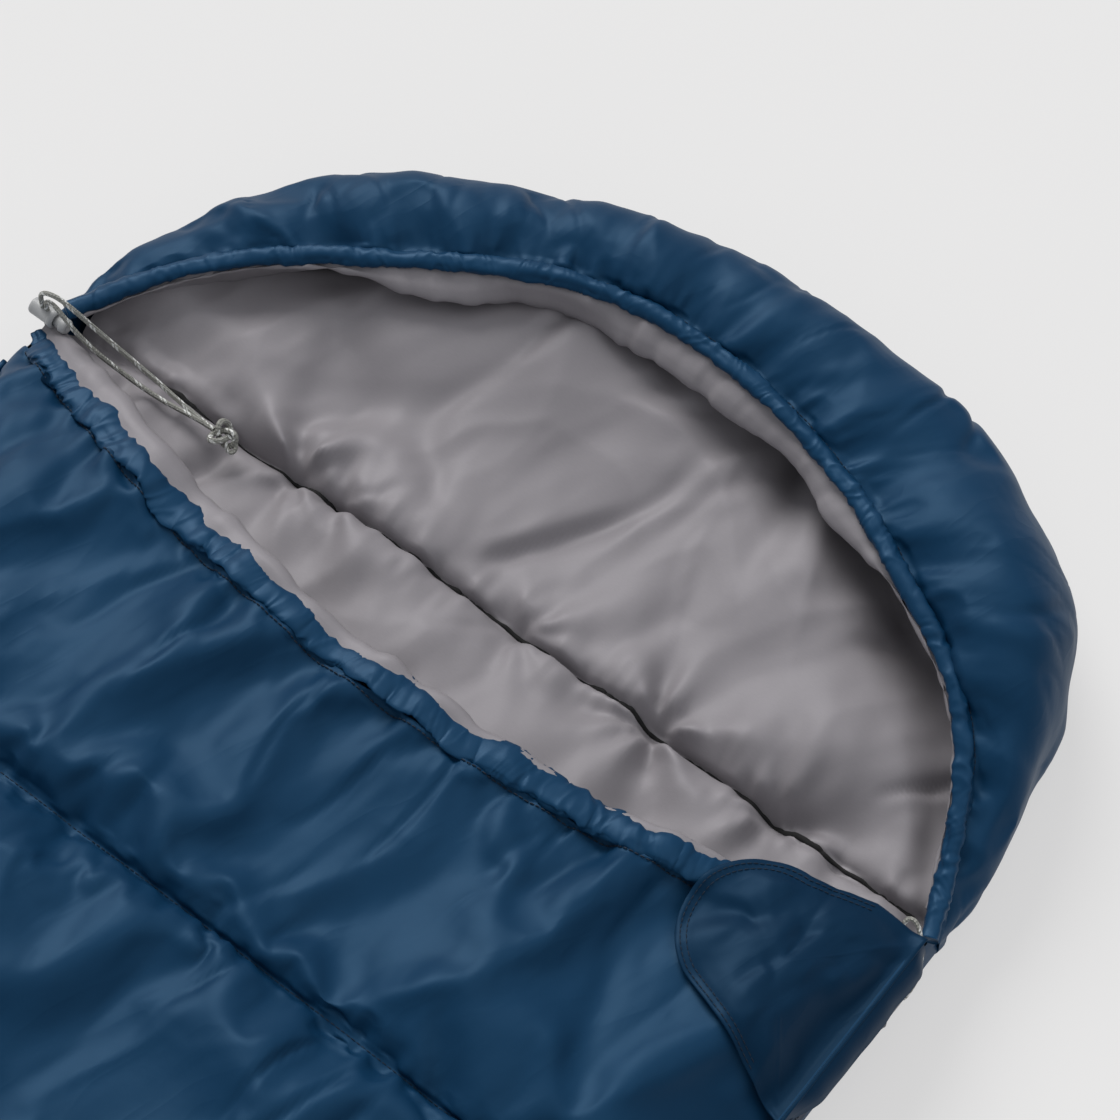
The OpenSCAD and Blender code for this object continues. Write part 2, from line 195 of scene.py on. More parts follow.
def grid_faces(nu, nv, closed=False, flip=False):
    """Quads of a grid of nu by nv points, wrapped round in v if closed."""
    i, j = np.meshgrid(np.arange(nu - 1), np.arange(nv if closed else nv - 1), indexing="ij")
    k = (j + 1) % nv
    quads = np.stack([i * nv + j, (i + 1) * nv + j, (i + 1) * nv + k, i * nv + k], -1)
    quads = quads.reshape(-1, 4)
    return quads[:, ::-1] if flip else quads


def grid_object(name, grid, flip=False):
    """An open sheet from a grid of points."""
    nu, nv = grid.shape[:2]
    return make_object(name, grid.reshape(-1, 3), grid_faces(nu, nv, flip=flip))


def sides_of(path):
    """Two side directions at each point of a path, turned as little as possible."""
    tangent = unit(np.gradient(path, axis=0))
    side = np.cross(tangent[0], UP)
    if np.linalg.norm(side) < 0.1:
        side = np.cross(tangent[0], [0, 1.0, 0])
    sides = []
    for t in tangent:
        side = unit(side - t * side.dot(t))
        sides.append(side)
    sides = np.array(sides)
    return sides, np.cross(sides, tangent)


def tube_object(name, path, radius, sides=12, squeeze=1.0, closed=False):
    """A tube round a path. radius is a number or an array by ring and side."""
    path = np.asarray(path, float)
    count = len(path)
    side, up = sides_of(path)
    angle = np.arange(sides) * 2 * math.pi / sides
    radius = np.broadcast_to(radius, (count, sides))
    ring = (path[:, None] + (radius * np.cos(angle))[..., None] * side[:, None]
            + squeeze * (radius * np.sin(angle))[..., None] * up[:, None])
    faces = grid_faces(count, sides, closed=True).tolist()
    last = (count - 1) * sides
    if closed:
        faces += [[last + k, k, (k + 1) % sides, last + (k + 1) % sides] for k in range(sides)]
    else:
        faces += [list(range(sides))[::-1], [last + k for k in range(sides)]]
    uvs = np.stack([np.tile(np.arange(sides) / sides, count), np.repeat(run_of(path), sides)], 1)
    return make_object(name, ring.reshape(-1, 3), faces, uvs)


def spline(points, count, closed=False):
    """A smooth curve through given points (Catmull-Rom), resampled evenly."""
    p = np.asarray(points, float)
    if closed:
        p = np.concatenate([p[-1:], p, p[:2]])
    else:
        p = np.concatenate([2 * p[:1] - p[1:2], p, 2 * p[-1:] - p[-2:-1]])
    out = []
    for k in range(1, len(p) - 2):
        t = np.linspace(0, 1, 16, endpoint=False)[:, None]
        a, b, c, d = p[k - 1], p[k], p[k + 1], p[k + 2]
        out.append(0.5 * (2 * b + (c - a) * t + (2 * a - 5 * b + 4 * c - d) * t**2
                          + (3 * b - a - 3 * c + d) * t**3))
    out.append(p[-2:-1])
    return resample(np.concatenate(out), count)


def lathe(name, profile, centre, sides=40):
    """A solid turned about X: profile is (distance along the axis, radius) pairs."""
    along, radius = np.asarray(profile, float).T[..., None]
    angle = np.arange(sides) * 2 * math.pi / sides
    rings = np.stack(np.broadcast_arrays(along, radius * np.cos(angle), radius * np.sin(angle)), -1)
    faces = grid_faces(len(profile), sides, closed=True, flip=True).tolist()
    return make_object(name, rings.reshape(-1, 3) + np.asarray(centre), faces)


STITCH, STITCH_GAP = 0.0030, 0.0012
STITCH_BACK = 0.0004
# Rings of one stitch: place along it, height above the path and thickness, both in thread radii.
STITCH_RINGS = ((0, -0.6, 0.5), (0.18, 0.6, 1.0), (0.5, 1.0, 1.0), (0.82, 0.6, 1.0), (1, -0.6, 0.5))
STITCH_SIDES = 5


def stitches(name, path, radius=0.00028):
    """A row of thread stitches along a path, as one mesh."""
    count = int(run_of(path)[-1] / (STITCH + STITCH_GAP))
    line = resample(path, count * 2 + 1)
    angle = np.arange(STITCH_SIDES) * 2 * math.pi / STITCH_SIDES
    quads = grid_faces(len(STITCH_RINGS), STITCH_SIDES, closed=True, flip=True)
    verts, faces = [], []
    for k in range(count):
        ahead = unit(line[2 * k + 1] - line[2 * k])
        side = unit(np.cross(ahead, UP))
        up = np.cross(side, ahead)
        start = line[2 * k] - ahead * STITCH_BACK
        base = len(verts)
        for f, lift, thick in STITCH_RINGS:
            centre = start + ahead * (STITCH + STITCH_BACK) * f + up * lift * radius
            verts.extend(centre + radius * thick * (side * math.cos(t) + up * math.sin(t)) for t in angle)
        faces.extend((quads + base).tolist())
    return make_object(name, verts, faces)


# ---- materials


class Nodes:
    """Short calls for building a node tree."""

    def __init__(self, name):
        self.mat = bpy.data.materials.new(name)
        self.mat.use_nodes = True
        self.tree = self.mat.node_tree
        self.shader = self.tree.nodes["Principled BSDF"]

    def add(self, kind, **values):
        node = self.tree.nodes.new("ShaderNode" + kind)
        for key, value in values.items():
            if hasattr(node, key) and key not in node.inputs:
                setattr(node, key, value)
            else:
                self.feed(node.inputs[key.replace("_", " ")], value)
        return node

    def feed(self, socket, value):
        if isinstance(value, bpy.types.NodeSocket):
            self.tree.links.new(value, socket)
        else:
            socket.default_value = value

    def math(self, operation, a, b=0.0):
        node = self.add("Math", operation=operation)
        self.feed(node.inputs[0], a)
        self.feed(node.inputs[1], b)
        return node.outputs[0]

    def noise(self, vector, scale, detail=2.0, rough=0.5):
        node = self.add("TexNoise", Scale=scale, Detail=detail, Roughness=rough)
        self.feed(node.inputs["Vector"], vector)
        return node.outputs["Fac"]

    def mix(self, factor, a, b):
        node = self.add("Mix", data_type="RGBA")
        self.feed(node.inputs["Factor"], factor)
        self.feed(node.inputs["A"], a)
        self.feed(node.inputs["B"], b)
        return node.outputs["Result"]

    def bump(self, height, strength, distance, under=None):
        node = self.add("Bump", Strength=strength, Distance=distance)
        self.feed(node.inputs["Height"], height)
        if under is not None:
            self.feed(node.inputs["Normal"], under)
        return node.outputs["Normal"]

    def set(self, **values):
        for key, value in values.items():
            self.feed(self.shader.inputs[key.replace("_", " ")], value)
        return self.mat


def scaled(n, sx=1, sy=1, sz=1):
    """Object coordinates stretched by a factor along each axis."""
    node = n.add("Mapping", Vector=n.add("TexCoord").outputs["Object"], Scale=(sx, sy, sz))
    return node.outputs["Vector"]


def turned(n, heading, along, across):
    """Object coordinates measured in cells that are long along a heading and narrow across it."""
    node = n.add("Mapping", vector_type="TEXTURE", Vector=n.add("TexCoord").outputs["Object"])
    node.inputs["Rotation"].default_value = (0, 0, math.radians(heading))
    node.inputs["Scale"].default_value = (along, across, across)
    return node.outputs["Vector"]


def rgba(colour, gain=1.0):
    """A colour made darker or brighter by a gain, for a socket."""
    return (*[c * gain for c in colour], 1)


def ridges(n, vector, power):
    """Sharp crests where a noise crosses its middle value."""
    wave = n.math("ABSOLUTE", n.math("SUBTRACT", n.noise(vector, 1.0, 2.0, 0.5), 0.5))
    return n.math("POWER", n.math("SUBTRACT", 1.0, n.math("MULTIPLY", wave, 2.0)), power)


def satin(name, light, dark, tint, rough, specular, wrinkles=0.13):
    """Woven satin polyester: fine threads, small creases and slow colour variation."""
    n = Nodes(name)
    at = scaled(n)
    patch = n.noise(at, 9.0, 3.0, 0.55)
    fibre = n.noise(scaled(n, 260, 1900, 600), 1.0, 1.0, 0.5)
    colour = n.mix(patch, rgba(dark), rgba(light))
    colour = n.mix(n.math("MULTIPLY", fibre, 0.22), colour, rgba(dark, 0.62))
    crease = n.noise(at, 34.0, 3.0, 0.6)
    thread = n.noise(scaled(n, 420, 2600, 900), 1.0, 0.0, 0.5)
    rough_map = n.math("ADD", n.math("MULTIPLY", n.noise(at, 22.0), 0.08), rough - 0.04)
    wrinkle = n.math("MULTIPLY", ridges(n, turned(n, 72, 0.13, 0.030), 7), n.noise(at, 7.0))
    normal = n.bump(wrinkle, wrinkles, 0.0024)
    normal = n.bump(crease, 0.16, 0.0016, normal)
    normal = n.bump(thread, 0.08, 0.00018, normal)
    return n.set(Base_Color=colour, Roughness=rough_map, Normal=normal,
                 Specular_IOR_Level=specular, Specular_Tint=rgba(tint))


def woven(name, colour, rough, pitch=0.0008):
    """Matt woven tape or thread."""
    n = Nodes(name)
    weave = n.noise(scaled(n, 1 / pitch, 1 / pitch, 1 / pitch), 1.0, 1.0, 0.5)
    tone = n.mix(weave, rgba(colour, 0.7), rgba(colour, 1.25))
    return n.set(Base_Color=tone, Roughness=rough, Normal=n.bump(weave, 0.5, 0.0003))


def braid(name):
    """Braided cord: crossing strands with pale tracer flecks, from the cord's own UVs."""
    n = Nodes(name)
    parts = n.add("SeparateXYZ", Vector=n.add("TexCoord").outputs["UV"])
    turn, along = parts.outputs[0], parts.outputs[1]
    # Strands cross every 4.2 mm, three of them round the cord; the pale tracer turns once in 22 mm.
    pitch = n.math("MULTIPLY", along, 2 * math.pi / 0.0042)
    round_ = n.math("MULTIPLY", turn, 2 * math.pi * 3)
    one = n.math("SINE", n.math("ADD", round_, pitch))
    two = n.math("SINE", n.math("SUBTRACT", round_, pitch))
    weave = n.math("MULTIPLY", one, two)
    slow = n.math("MULTIPLY", along, 2 * math.pi / 0.022)
    fleck = n.math("SINE", n.math("ADD", n.math("MULTIPLY", turn, 2 * math.pi), slow))
    fleck = n.math("GREATER_THAN", n.math("ADD", n.math("MULTIPLY", one, 0.35), fleck), 0.72)
    speck = n.noise(scaled(n), 700.0, 2.0, 0.6)
    base = n.mix(speck, (0.10, 0.10, 0.088, 1), (0.46, 0.46, 0.42, 1))
    colour = n.mix(n.math("MULTIPLY", fleck, 0.85), base, (0.84, 0.85, 0.83, 1))
    return n.set(Base_Color=colour, Roughness=0.62, Normal=n.bump(weave, 0.7, 0.0005))


def plastic(name, colour, rough, grit=0.04):
    """Moulded plastic with a faint texture."""
    n = Nodes(name)
    at = scaled(n)
    tone = n.mix(n.noise(at, 60.0), rgba(colour, 0.9), rgba(colour, 1.08))
    return n.set(Base_Color=tone, Roughness=rough, Normal=n.bump(n.noise(at, 900.0), grit, 0.0002))


def metal(name, colour, rough):
    """Painted cast metal."""
    n = Nodes(name)
    at = scaled(n)
    tone = n.mix(n.noise(at, 120.0), rgba(colour, 0.8), rgba(colour))
    wear = n.math("ADD", n.math("MULTIPLY", n.noise(at, 300.0), 0.15), rough)
    return n.set(Base_Color=tone, Roughness=wear, Metallic=0.55)


NAVY = satin("shell_satin", (0.0046, 0.037, 0.092), (0.0022, 0.024, 0.063),
             (0.32, 0.64, 1.0), 0.50, 0.35)
NAVY_HEM = satin("casing_satin", (0.0052, 0.042, 0.102), (0.0024, 0.026, 0.068),
                 (0.34, 0.64, 1.0), 0.45, 0.40)
# The flap is the shell's own satin made darker: painted shade for the lesser light the flap gets.
SHADED_FLAP_NAVY = satin("flap_satin_painted_shade", (0.0030, 0.023, 0.058), (0.0014, 0.015, 0.040),
                  (0.30, 0.62, 1.0), 0.48, 0.24)
GREY = satin("lining_satin", (0.292, 0.275, 0.293), (0.228, 0.214, 0.229),
             (0.95, 0.93, 0.98), 0.54, 0.44, 0.03)
THREAD = woven("navy_thread", (0.004, 0.012, 0.028), 0.7, 0.0004)
# Near-black for the neck seam: partly the dark overlock thread, partly painted shadow of the drawn-in seam.
SEAM_THREAD_AND_SHADOW = woven("dark_thread_and_painted_seam_shadow", (0.006, 0.006, 0.0065), 0.9, 0.0006)
TAPE = woven("zip_tape_weave", (0.008, 0.022, 0.050), 0.8)
TEETH = plastic("coil_nylon", (0.010, 0.024, 0.050), 0.38)
CORD = braid("tracer_braid")
LOCK = plastic("lock_plastic", (0.38, 0.385, 0.39), 0.42, 0.08)
ZINC = metal("painted_zinc", (0.05, 0.06, 0.08), 0.35)
HOOK = woven("hook_and_loop", (0.010, 0.016, 0.030), 0.95, 0.0015)


def dress(obj, mat):
    """Gives a new piece its material."""
    obj.data.materials.clear()
    obj.data.materials.append(mat)
    return obj


# ---- camera, floor and light
CAM_AZ, CAM_EL, CAM_DIST = math.radians(38.2), math.radians(62.0), 2.446
CAM_AIM = Vector((0.0197, NECK + 0.066, LINING_Z))
CAM_LENS = 114.8
FLOOR_REACH = 60


def make_camera():
    """The camera, from its bearing, height and distance."""
    cam = bpy.data.cameras.new("camera")
    cam.lens, cam.sensor_width = CAM_LENS, 36
    obj = bpy.data.objects.new("camera", cam)
    level = math.cos(CAM_EL)
    ahead = Vector((-math.sin(CAM_AZ) * level, math.cos(CAM_AZ) * level, -math.sin(CAM_EL)))
    obj.location = CAM_AIM - ahead * CAM_DIST
    obj.rotation_euler = ahead.to_track_quat("-Z", "Y").to_euler()
    bpy.context.scene.collection.objects.link(obj)
    bpy.context.scene.camera = obj


def sun(name, azimuth, height, power, angle, colour=(1, 1, 1)):
    """Light from a compass bearing (degrees from +X) and a height above the floor."""
    light = bpy.data.lights.new(name, "SUN")
    light.energy, light.angle, light.color = power, math.radians(angle), colour
    obj = bpy.data.objects.new(name, light)
    a, h = math.radians(azimuth), math.radians(height)
    towards = Vector((math.cos(a) * math.cos(h), math.sin(a) * math.cos(h), math.sin(h)))
    obj.rotation_euler = (-towards).to_track_quat("-Z", "Y").to_euler()
    bpy.context.scene.collection.objects.link(obj)


def make_studio():
    """A pale floor, an even sky and two soft lights."""
    scene = bpy.context.scene
    scene.view_settings.view_transform = "Standard"
    world = bpy.data.worlds.new("studio")
    scene.world = world
    world.use_nodes = True
    sky = world.node_tree.nodes["Background"].inputs
    sky["Color"].default_value = (0.93, 0.96, 1.0, 1)
    sky["Strength"].default_value = 0.44
    corners = [(x * FLOOR_REACH, y * FLOOR_REACH, 0) for x, y in ((-1, -1), (1, -1), (1, 1), (-1, 1))]
    floor = make_object("floor", corners, [(0, 1, 2, 3)])
    n = Nodes("floor_paint")
    tone = n.mix(n.noise(scaled(n), 3.0), rgba((0.27, 0.27, 0.27)), rgba((0.28, 0.28, 0.28)))
    floor.data.materials.append(n.set(Base_Color=tone, Roughness=0.9, Specular_IOR_Level=0.1,
                                      Emission_Color=(1.0, 0.99, 0.985, 1), Emission_Strength=0.535))
    sun("key", 150, 42, 2.05, 34, (1.0, 0.99, 0.97))
    sun("top", 40, 70, 0.45, 50)


make_camera()
make_studio()

# ---- free cords
CORD_D = 0.0036
# Where the two strands run, from the lock to the knot.
ROUTE_A = [
    (-0.3681, 0.7430, 0.058), (-0.3681, 0.7430, 0.075), (-0.3681, 0.7430, 0.093), (-0.3668, 0.7430, 0.1045),
    (-0.361, 0.7435, 0.1115), (-0.352, 0.7450, 0.1125), (-0.343, 0.7464, 0.1088), (-0.335, 0.7483, 0.1020),
    (-0.321, 0.7521, 0.0885), (-0.304, 0.7560, 0.0755), (-0.285, 0.7579, 0.0675), (-0.266, 0.7577, 0.0635),
    (-0.248, 0.7560, 0.0640), (-0.234, 0.7546, 0.0665), (-0.226, 0.7541, 0.0680),
]
ROUTE_B = [
    (-0.3639, 0.7430, 0.058), (-0.3639, 0.7430, 0.075), (-0.3639, 0.7430, 0.091), (-0.3625, 0.7428, 0.0990),
    (-0.3580, 0.7420, 0.1045), (-0.3510, 0.7410, 0.1060), (-0.3435, 0.7400, 0.1025), (-0.335, 0.7400, 0.0940),
    (-0.323, 0.7425, 0.0800), (-0.307, 0.7461, 0.0695), (-0.290, 0.7486, 0.0645), (-0.272, 0.7510, 0.0630),
    (-0.254, 0.7532, 0.0645), (-0.240, 0.7538, 0.0665), (-0.229, 0.7535, 0.0685),
]
KNOT_AT = np.array((-0.221, 0.7540, 0.0690))
# How far the lock stands from its CAD place.
LOCK_SHIFT = np.array((-0.009, 0.002, 0.006))


def shifted(route):
    """The route with its start moved along with the lock, easing off towards the knot."""
    route = np.array(route)
    ease = 1 - smooth(-0.355, -0.250, route[:, :1])
    return route + LOCK_SHIFT * ease


def make_knot():
    """The overhand knot of the doubled cord, with its short tail loop."""
    t = np.linspace(0, 2 * math.pi, 97)[:-1]
    ring = [np.sin(t) + 2 * np.sin(2 * t), np.cos(t) - 2 * np.cos(2 * t), -1.25 * np.sin(3 * t)]
    tilt = np.array([[0.80, 0.45, 0.25], [-0.42, 0.88, -0.10], [-0.26, -0.05, 0.95]])
    ring = 0.00335 * np.stack(ring, 1) @ tilt.T + KNOT_AT + np.array([0, 0, 0.0005])
    knot = tube_object("cord_knot_turns", ring, CORD_D * 0.60, closed=True)
    tail = spline(KNOT_AT + np.array([
        (0.002, 0.001, 0.001), (0.007, 0.002, -0.001), (0.0105, 0.0005, -0.003), (0.0120, -0.0028, -0.005),
        (0.0105, -0.0058, -0.005), (0.0070, -0.0050, -0.003), (0.003, -0.002, 0.0)]), 40)
    return knot, tube_object("cord_knot_tail", tail, CORD_D * 0.48, 10)


def make_cords():
    """The two free strands, and the knot that is the far end of both."""
    strands = []
    for letter, route in (("a", ROUTE_A), ("b", ROUTE_B)):
        path = spline(shifted(route), 120)
        tube = tube_object("drawcord_strand_" + letter, path, CORD_D / 2)
        strands.append((letter, path, dress(tube, CORD)))
    knot, tail_loop = make_knot()
    for piece in (knot, tail_loop):
        dress(piece, CORD)
        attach(piece, "base")
    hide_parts("cord_knot")
    for (letter, path, tube), on_it in zip(strands, ([knot, tail_loop], [knot])):
        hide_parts("cord_strand_" + letter)
        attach(tube, "base")


make_cords()

# ---- outlines of the bag


def side_x(y):
    """Half width of the body at y, with the rounded foot corners."""
    inset = np.clip(FOOT + FOOT_R - np.asarray(y, float), 0, FOOT_R)
    return HALF_W - FOOT_R + np.sqrt(np.maximum(FOOT_R**2 - inset**2, 0))


def foot_fall(y, reach, power):
    """How the panel comes down at the foot: 0 at the very end, 1 from the reach on."""
    return (1 - np.clip((FOOT + reach - y) / reach, 0, 1) ** power) ** 0.5


# Mean radius of the hood's rim, for laying folds along it.
RIM_R = 0.34


def front_edge(x):
    """Where the front panel's top edge lies: a bow, nearest the hood at the corners."""
    return NECK - 0.012 - 0.076 * (1 - (np.asarray(x) / HALF_W) ** 2)


def bow(turn, half, reach):
    """Radius of a circle's arc, from the middle of its chord, for a half width and a reach."""
    radius = (half**2 + reach**2) / (2 * reach)
    drop = radius - reach
    return np.sqrt(radius**2 - (drop * np.cos(turn)) ** 2) - drop * np.sin(turn)


def hood_outer(turn):
    """Radius of the hood's outline from the middle of the neck line. It bulges on the zip side."""
    bulge = 0.044 * bell(turn, 0.58, 0.36) + 0.013 * bell(turn, 1.02, 0.17) - 0.011 * bell(turn, 0.40, 0.12)
    flat = 0.011 * bell(turn, 1.75, 0.60) + 0.023 * bell(turn, 2.05, 0.48)
    return bow(turn, HALF_W, APEX - NECK) + bulge - flat + 0.002


def hood_mouth(turn):
    """Radius of the face opening's edge from the middle of the neck line."""
    slack = 0.018 * bell(turn, 0.34, 0.24) - 0.022 * bell(turn, 2.48, 0.44)
    return bow(turn, MOUTH_HALF, MOUTH_LEN) + slack


def mouth_z(turn):
    """Height of the hood's hem, lowest at the neck corners."""
    ahead = hood_mouth(turn) * np.sin(turn)
    return 0.070 + 0.044 * smooth(0, 1, ahead / MOUTH_LEN * 1.15) ** 0.8


def polar(turn, r, z):
    """Points at an angle and a radius from the middle of the neck line."""
    return np.stack(np.broadcast_arrays(r * np.cos(turn), NECK + r * np.sin(turn), z), -1)


# ---- cloth simulation
JOBS = []
SIM_FRAMES = 26
CLOTH_MASS, CLOTH_STIFF, CLOTH_BEND = 0.25, 12.0, 6.0


def cloth(name, grid, pin, grow, pressure, cap):
    """Queues a sheet for simulation and returns its index. No point moves further than about cap."""
    JOBS.append(dict(name=name, grid=grid, pin=pin, grow=grow, pressure=pressure, cap=cap))
    return len(JOBS) - 1


def pinned(grid, rows):
    """Marks the points that stay put: the grid's four edges and some of its rows."""
    pin = np.zeros(grid.shape[:2], bool)
    pin[[0, -1]] = True
    pin[:, [0, -1]] = True
    pin[rows] = True
    return pin


def run_cloth():
    """Simulates every queued sheet at once; each result is capped and kept as a grid."""
    made = []
    for job in JOBS:
        obj = grid_object("sim_" + job["name"], job["grid"])
        obj.vertex_groups.new(name="pin").add(np.flatnonzero(job["pin"]).tolist(), 1.0, "REPLACE")
        mod = obj.modifiers.new("cloth", "CLOTH")
        s = mod.settings
        s.vertex_group_mass = "pin"
        s.quality = 6
        s.mass = CLOTH_MASS
        s.air_damping = 4.0
        s.tension_stiffness = s.compression_stiffness = CLOTH_STIFF
        s.shear_stiffness = CLOTH_STIFF * 0.4
        s.bending_stiffness = CLOTH_BEND
        s.tension_damping = s.compression_damping = s.shear_damping = 8.0
        s.bending_damping = 1.0
        s.shrink_min = -job["grow"]
        s.use_pressure = True
        s.uniform_pressure_force = job["pressure"]
        s.effector_weights.gravity = 0
        mod.collision_settings.use_collision = False
        mod.point_cache.frame_start, mod.point_cache.frame_end = 1, SIM_FRAMES
        made.append(obj)
    scene = bpy.context.scene
    for k in range(1, SIM_FRAMES + 1):
        scene.frame_set(k)
    graph = bpy.context.evaluated_depsgraph_get()
    results = []
    for obj, job in zip(made, JOBS):
        mesh = obj.evaluated_get(graph).to_mesh()
        out = np.empty(len(mesh.vertices) * 3)
        mesh.vertices.foreach_get("co", out)
        move = out.reshape(job["grid"].shape) - job["grid"]
        size = np.maximum(np.linalg.norm(move, axis=2, keepdims=True), 1e-9)
        results.append(job["grid"] + move * job["cap"] * np.tanh(size / job["cap"]) / size)
    for obj in made:
        bpy.data.objects.remove(obj, do_unlink=True)
    scene.frame_set(1)
    return results


def from_quilt(y):
    """Distance to the nearest quilt seam."""
    return np.min([np.abs(y - line) for line in QUILT_Y], axis=0)


def seam_dip(y, depth, reach):
    """How far quilting draws the cloth in, near each seam line."""
    return sum(depth * near(y - line, reach) for line in QUILT_Y)


def pucker(along, off, reach, depth, cell, seed):
    """Small gathers that run away from a seam: along is the place on it, off the distance to it."""
    wave = noise(along, off * 0.25, cell, seed) + 0.6 * noise(along, off * 0.3, cell * 0.47, seed + 5)
    return depth * wave * near(off, reach) * smooth(0.0, 0.004, np.abs(off))


def rows_near(start, end, coarse, fine, lines, reach=0.03):
    """Row positions from start to end, closer together near the lines, with one on each line."""
    y, rows = start, [start]
    while y < end - fine * 0.5:
        gap = min(abs(y - line) for line in lines)
        y += fine + (coarse - fine) * float(smooth(reach * 0.25, reach, gap))
        rows.append(min(y, end))
    rows = np.array(rows)
    rows[-1] = end
    for line in lines:
        if start < line < end:
            rows[np.abs(rows - line).argmin()] = line
    return rows


# ---- front panel shell
FRONT_COLS = 131
FRONT_END = float(front_edge(0)) - HEM_BACK
front_rows = np.concatenate([rows_near(FOOT + 0.002, 0.20, 0.016, 0.006, QUILT_Y)[:-1],
                             rows_near(0.20, FRONT_END, 0.0062, 0.0026, QUILT_Y + [FRONT_END])])


def front_shape():
    """The front shell at rest before simulation: rounded sides, quilted pillows, a falling foot end."""
    rows = []
    for y in front_rows:
        half = float(side_x(y))
        x = half * np.cos(np.linspace(math.pi, 0, 241))
        loft = (1 - np.abs(x / half) ** 2.7) ** 0.5
        height = (CROWN - FRONT_Z + 0.003) * loft * foot_fall(y, 0.115, 2.4) * (1 - seam_dip(y, 0.30, 0.030))
        curve = resample(np.stack([x, FRONT_Z + height], 1), FRONT_COLS)
        shift = (front_edge(curve[:, 0]) - HEM_BACK - FRONT_END) * smooth(0.47, FRONT_END, y)
        rows.append(np.stack([curve[:, 0], y + shift, curve[:, 1]], 1))
    grid = np.array(rows)
    x, y = grid[..., 0], grid[..., 1]
    top = smooth(0.068, 0.085, grid[..., 2])
    to_edge = (front_edge(x) - HEM_BACK) - y
    end = near(np.maximum(to_edge, 0), 0.05)
    grid[..., 2] -= top * 0.010 * end
    broad = 0.0080 * folds(x, y, 69, 0.075, 0.24, 3) + 0.0060 * folds(x, y, 60, 0.036, 0.16, 8)
    to_quilt = from_quilt(y)
    gather = 0.0035 * noise(x, y * 0.12, 0.034, 21) * near(np.maximum(to_edge, 0), 0.05)
    gather += 0.0030 * noise(x + 0.2 * y, y * 0.1, 0.030, 23) * near(to_quilt, 0.035)
    grid[..., 2] += top * (broad * smooth(0, 0.05, to_quilt) + gather)
    return grid


front_grid = front_shape()
front_pin = pinned(front_grid, from_quilt(front_rows) < 1e-6)
FRONT_JOB = cloth("front", front_grid, front_pin, 0.030, 1.2, 0.012)

# ---- hood cover: rim, side and underside
HOOD_STEPS = 61
turns = np.linspace(0, math.pi, 201)
STITCH_OUT = 0.0105


def hood_profile(turn):
    """Rim section from the stitch line over the top, round the side and under, as (r, z)."""
    inner = float(hood_mouth(turn)) + STITCH_OUT * float(smooth(0.0, 0.25, math.sin(turn)))
    outer = float(hood_outer(turn))
    inner = min(inner, outer - 0.004)
    z0 = float(mouth_z(turn)) - 0.003
    width = outer - inner
    puff = 0.017 * float(smooth(0.01, 0.09, width))
    top_r = inner + width * 0.42
    t = np.linspace(0, math.pi / 2, 24)
    rise = np.stack([inner + (top_r - inner) * np.sin(t) ** 1.1, z0 + puff * (1 - (1 - np.sin(t)) ** 1.6)], 1)
    top_z = z0 + puff
    mid = 0.052
    a = np.linspace(math.pi / 2, 0, 40)[1:]
    over = np.stack([top_r + (outer - top_r) * np.cos(a) ** 0.82, mid + (top_z - mid) * np.sin(a) ** 0.80], 1)
    a = np.linspace(0, -math.pi / 2, 26)[1:]
    low_r = 0.042
    down = (-np.sin(a)) ** 0.9
    under = np.stack([outer - low_r + low_r * np.cos(a) ** 0.9, mid - (mid - 0.0015) * down], 1)
    return np.concatenate([rise, over, under])


def hood_shape():
    """The rim's section carried round the hood, with folds slanting across it."""
    grid = np.array([polar(turn, *resample(hood_profile(turn), HOOD_STEPS).T) for turn in turns])
    step = np.linspace(0, 1, HOOD_STEPS)[None, :]
    arc = turns[:, None] * RIM_R
    free = smooth(0.0, 0.04, step) * (1 - smooth(0.75, 0.97, step))
    free = free * smooth(0.04, 0.22, np.sin(turns))[:, None]
    n = normals(grid)
    n *= np.sign((n[..., 2:] * (step < 0.4)[..., None]).sum() or 1)
    fold = 0.0060 * folds(arc, step * 0.20, 62, 0.075, 0.16, 31)
    fold += 0.0036 * folds(arc, step * 0.20, 100, 0.032, 0.12, 37)
    gather = 0.0024 * noise(arc, step * 0.03, 0.018, 41) * near(step, 0.10)
    calm = 1 - 0.8 * smooth(0.28, 0.46, step) * (1 - smooth(0.55, 0.65, step))
    return grid + n * (free * (fold * calm + gather))[..., None]


hood_grid = hood_shape()
hood_pin = pinned(hood_grid, [0])
hood_pin[:, -6:] = True
HOOD_JOB = cloth("hood", hood_grid, hood_pin, 0.018, -0.4, 0.006)

# ---- lining of the back and the hood pad
LINING_COLS = 125
NECK_SEAM = NECK + 0.008
lining_rows = np.concatenate([rows_near(FOOT + 0.010, 0.50, 0.016, 0.008, QUILT_Y)[:-1],
                              rows_near(0.50, NECK + 0.305, 0.0062, 0.0024, [NECK_SEAM])])
neck_row = np.abs(lining_rows - NECK_SEAM).argmin()


def lining_half(y):
    """Half width of the lining at y: it runs under the rim to the bag's side."""
    body = side_x(y) - 0.004
    ahead = np.maximum(np.asarray(y, float) - NECK, 0)
    hood = np.sqrt(np.maximum(0.374**2 - (ahead + 0.034) ** 2, 0.0))
    return np.where(np.asarray(y) <= NECK, body, np.minimum(body, np.maximum(hood, 0.05)))


PINCHES = [(-0.169, 0.018, 0.065), (-0.128, 0.010, 0.050), (0.030, 0.008, 0.050),
           (0.145, 0.015, 0.110), (0.246, 0.013, 0.080)]


def pinched(x, y):
    """Puckers that run out from the places where the neck seam is drawn in hardest."""
    total = 0
    for k, (at, depth, reach) in enumerate(PINCHES):
        r = np.hypot(x - at, y - NECK_SEAM)
        angle = np.arctan2(y - NECK_SEAM, x - at)
        ray = noise(np.cos(angle) * 0.9, np.sin(angle) * 0.9, 0.42, 401 + k)
        total += depth * ray * near(r, reach) * smooth(0.004, 0.022, r)
        total -= 0.8 * depth * bell(r, 0, 0.012)
    return total


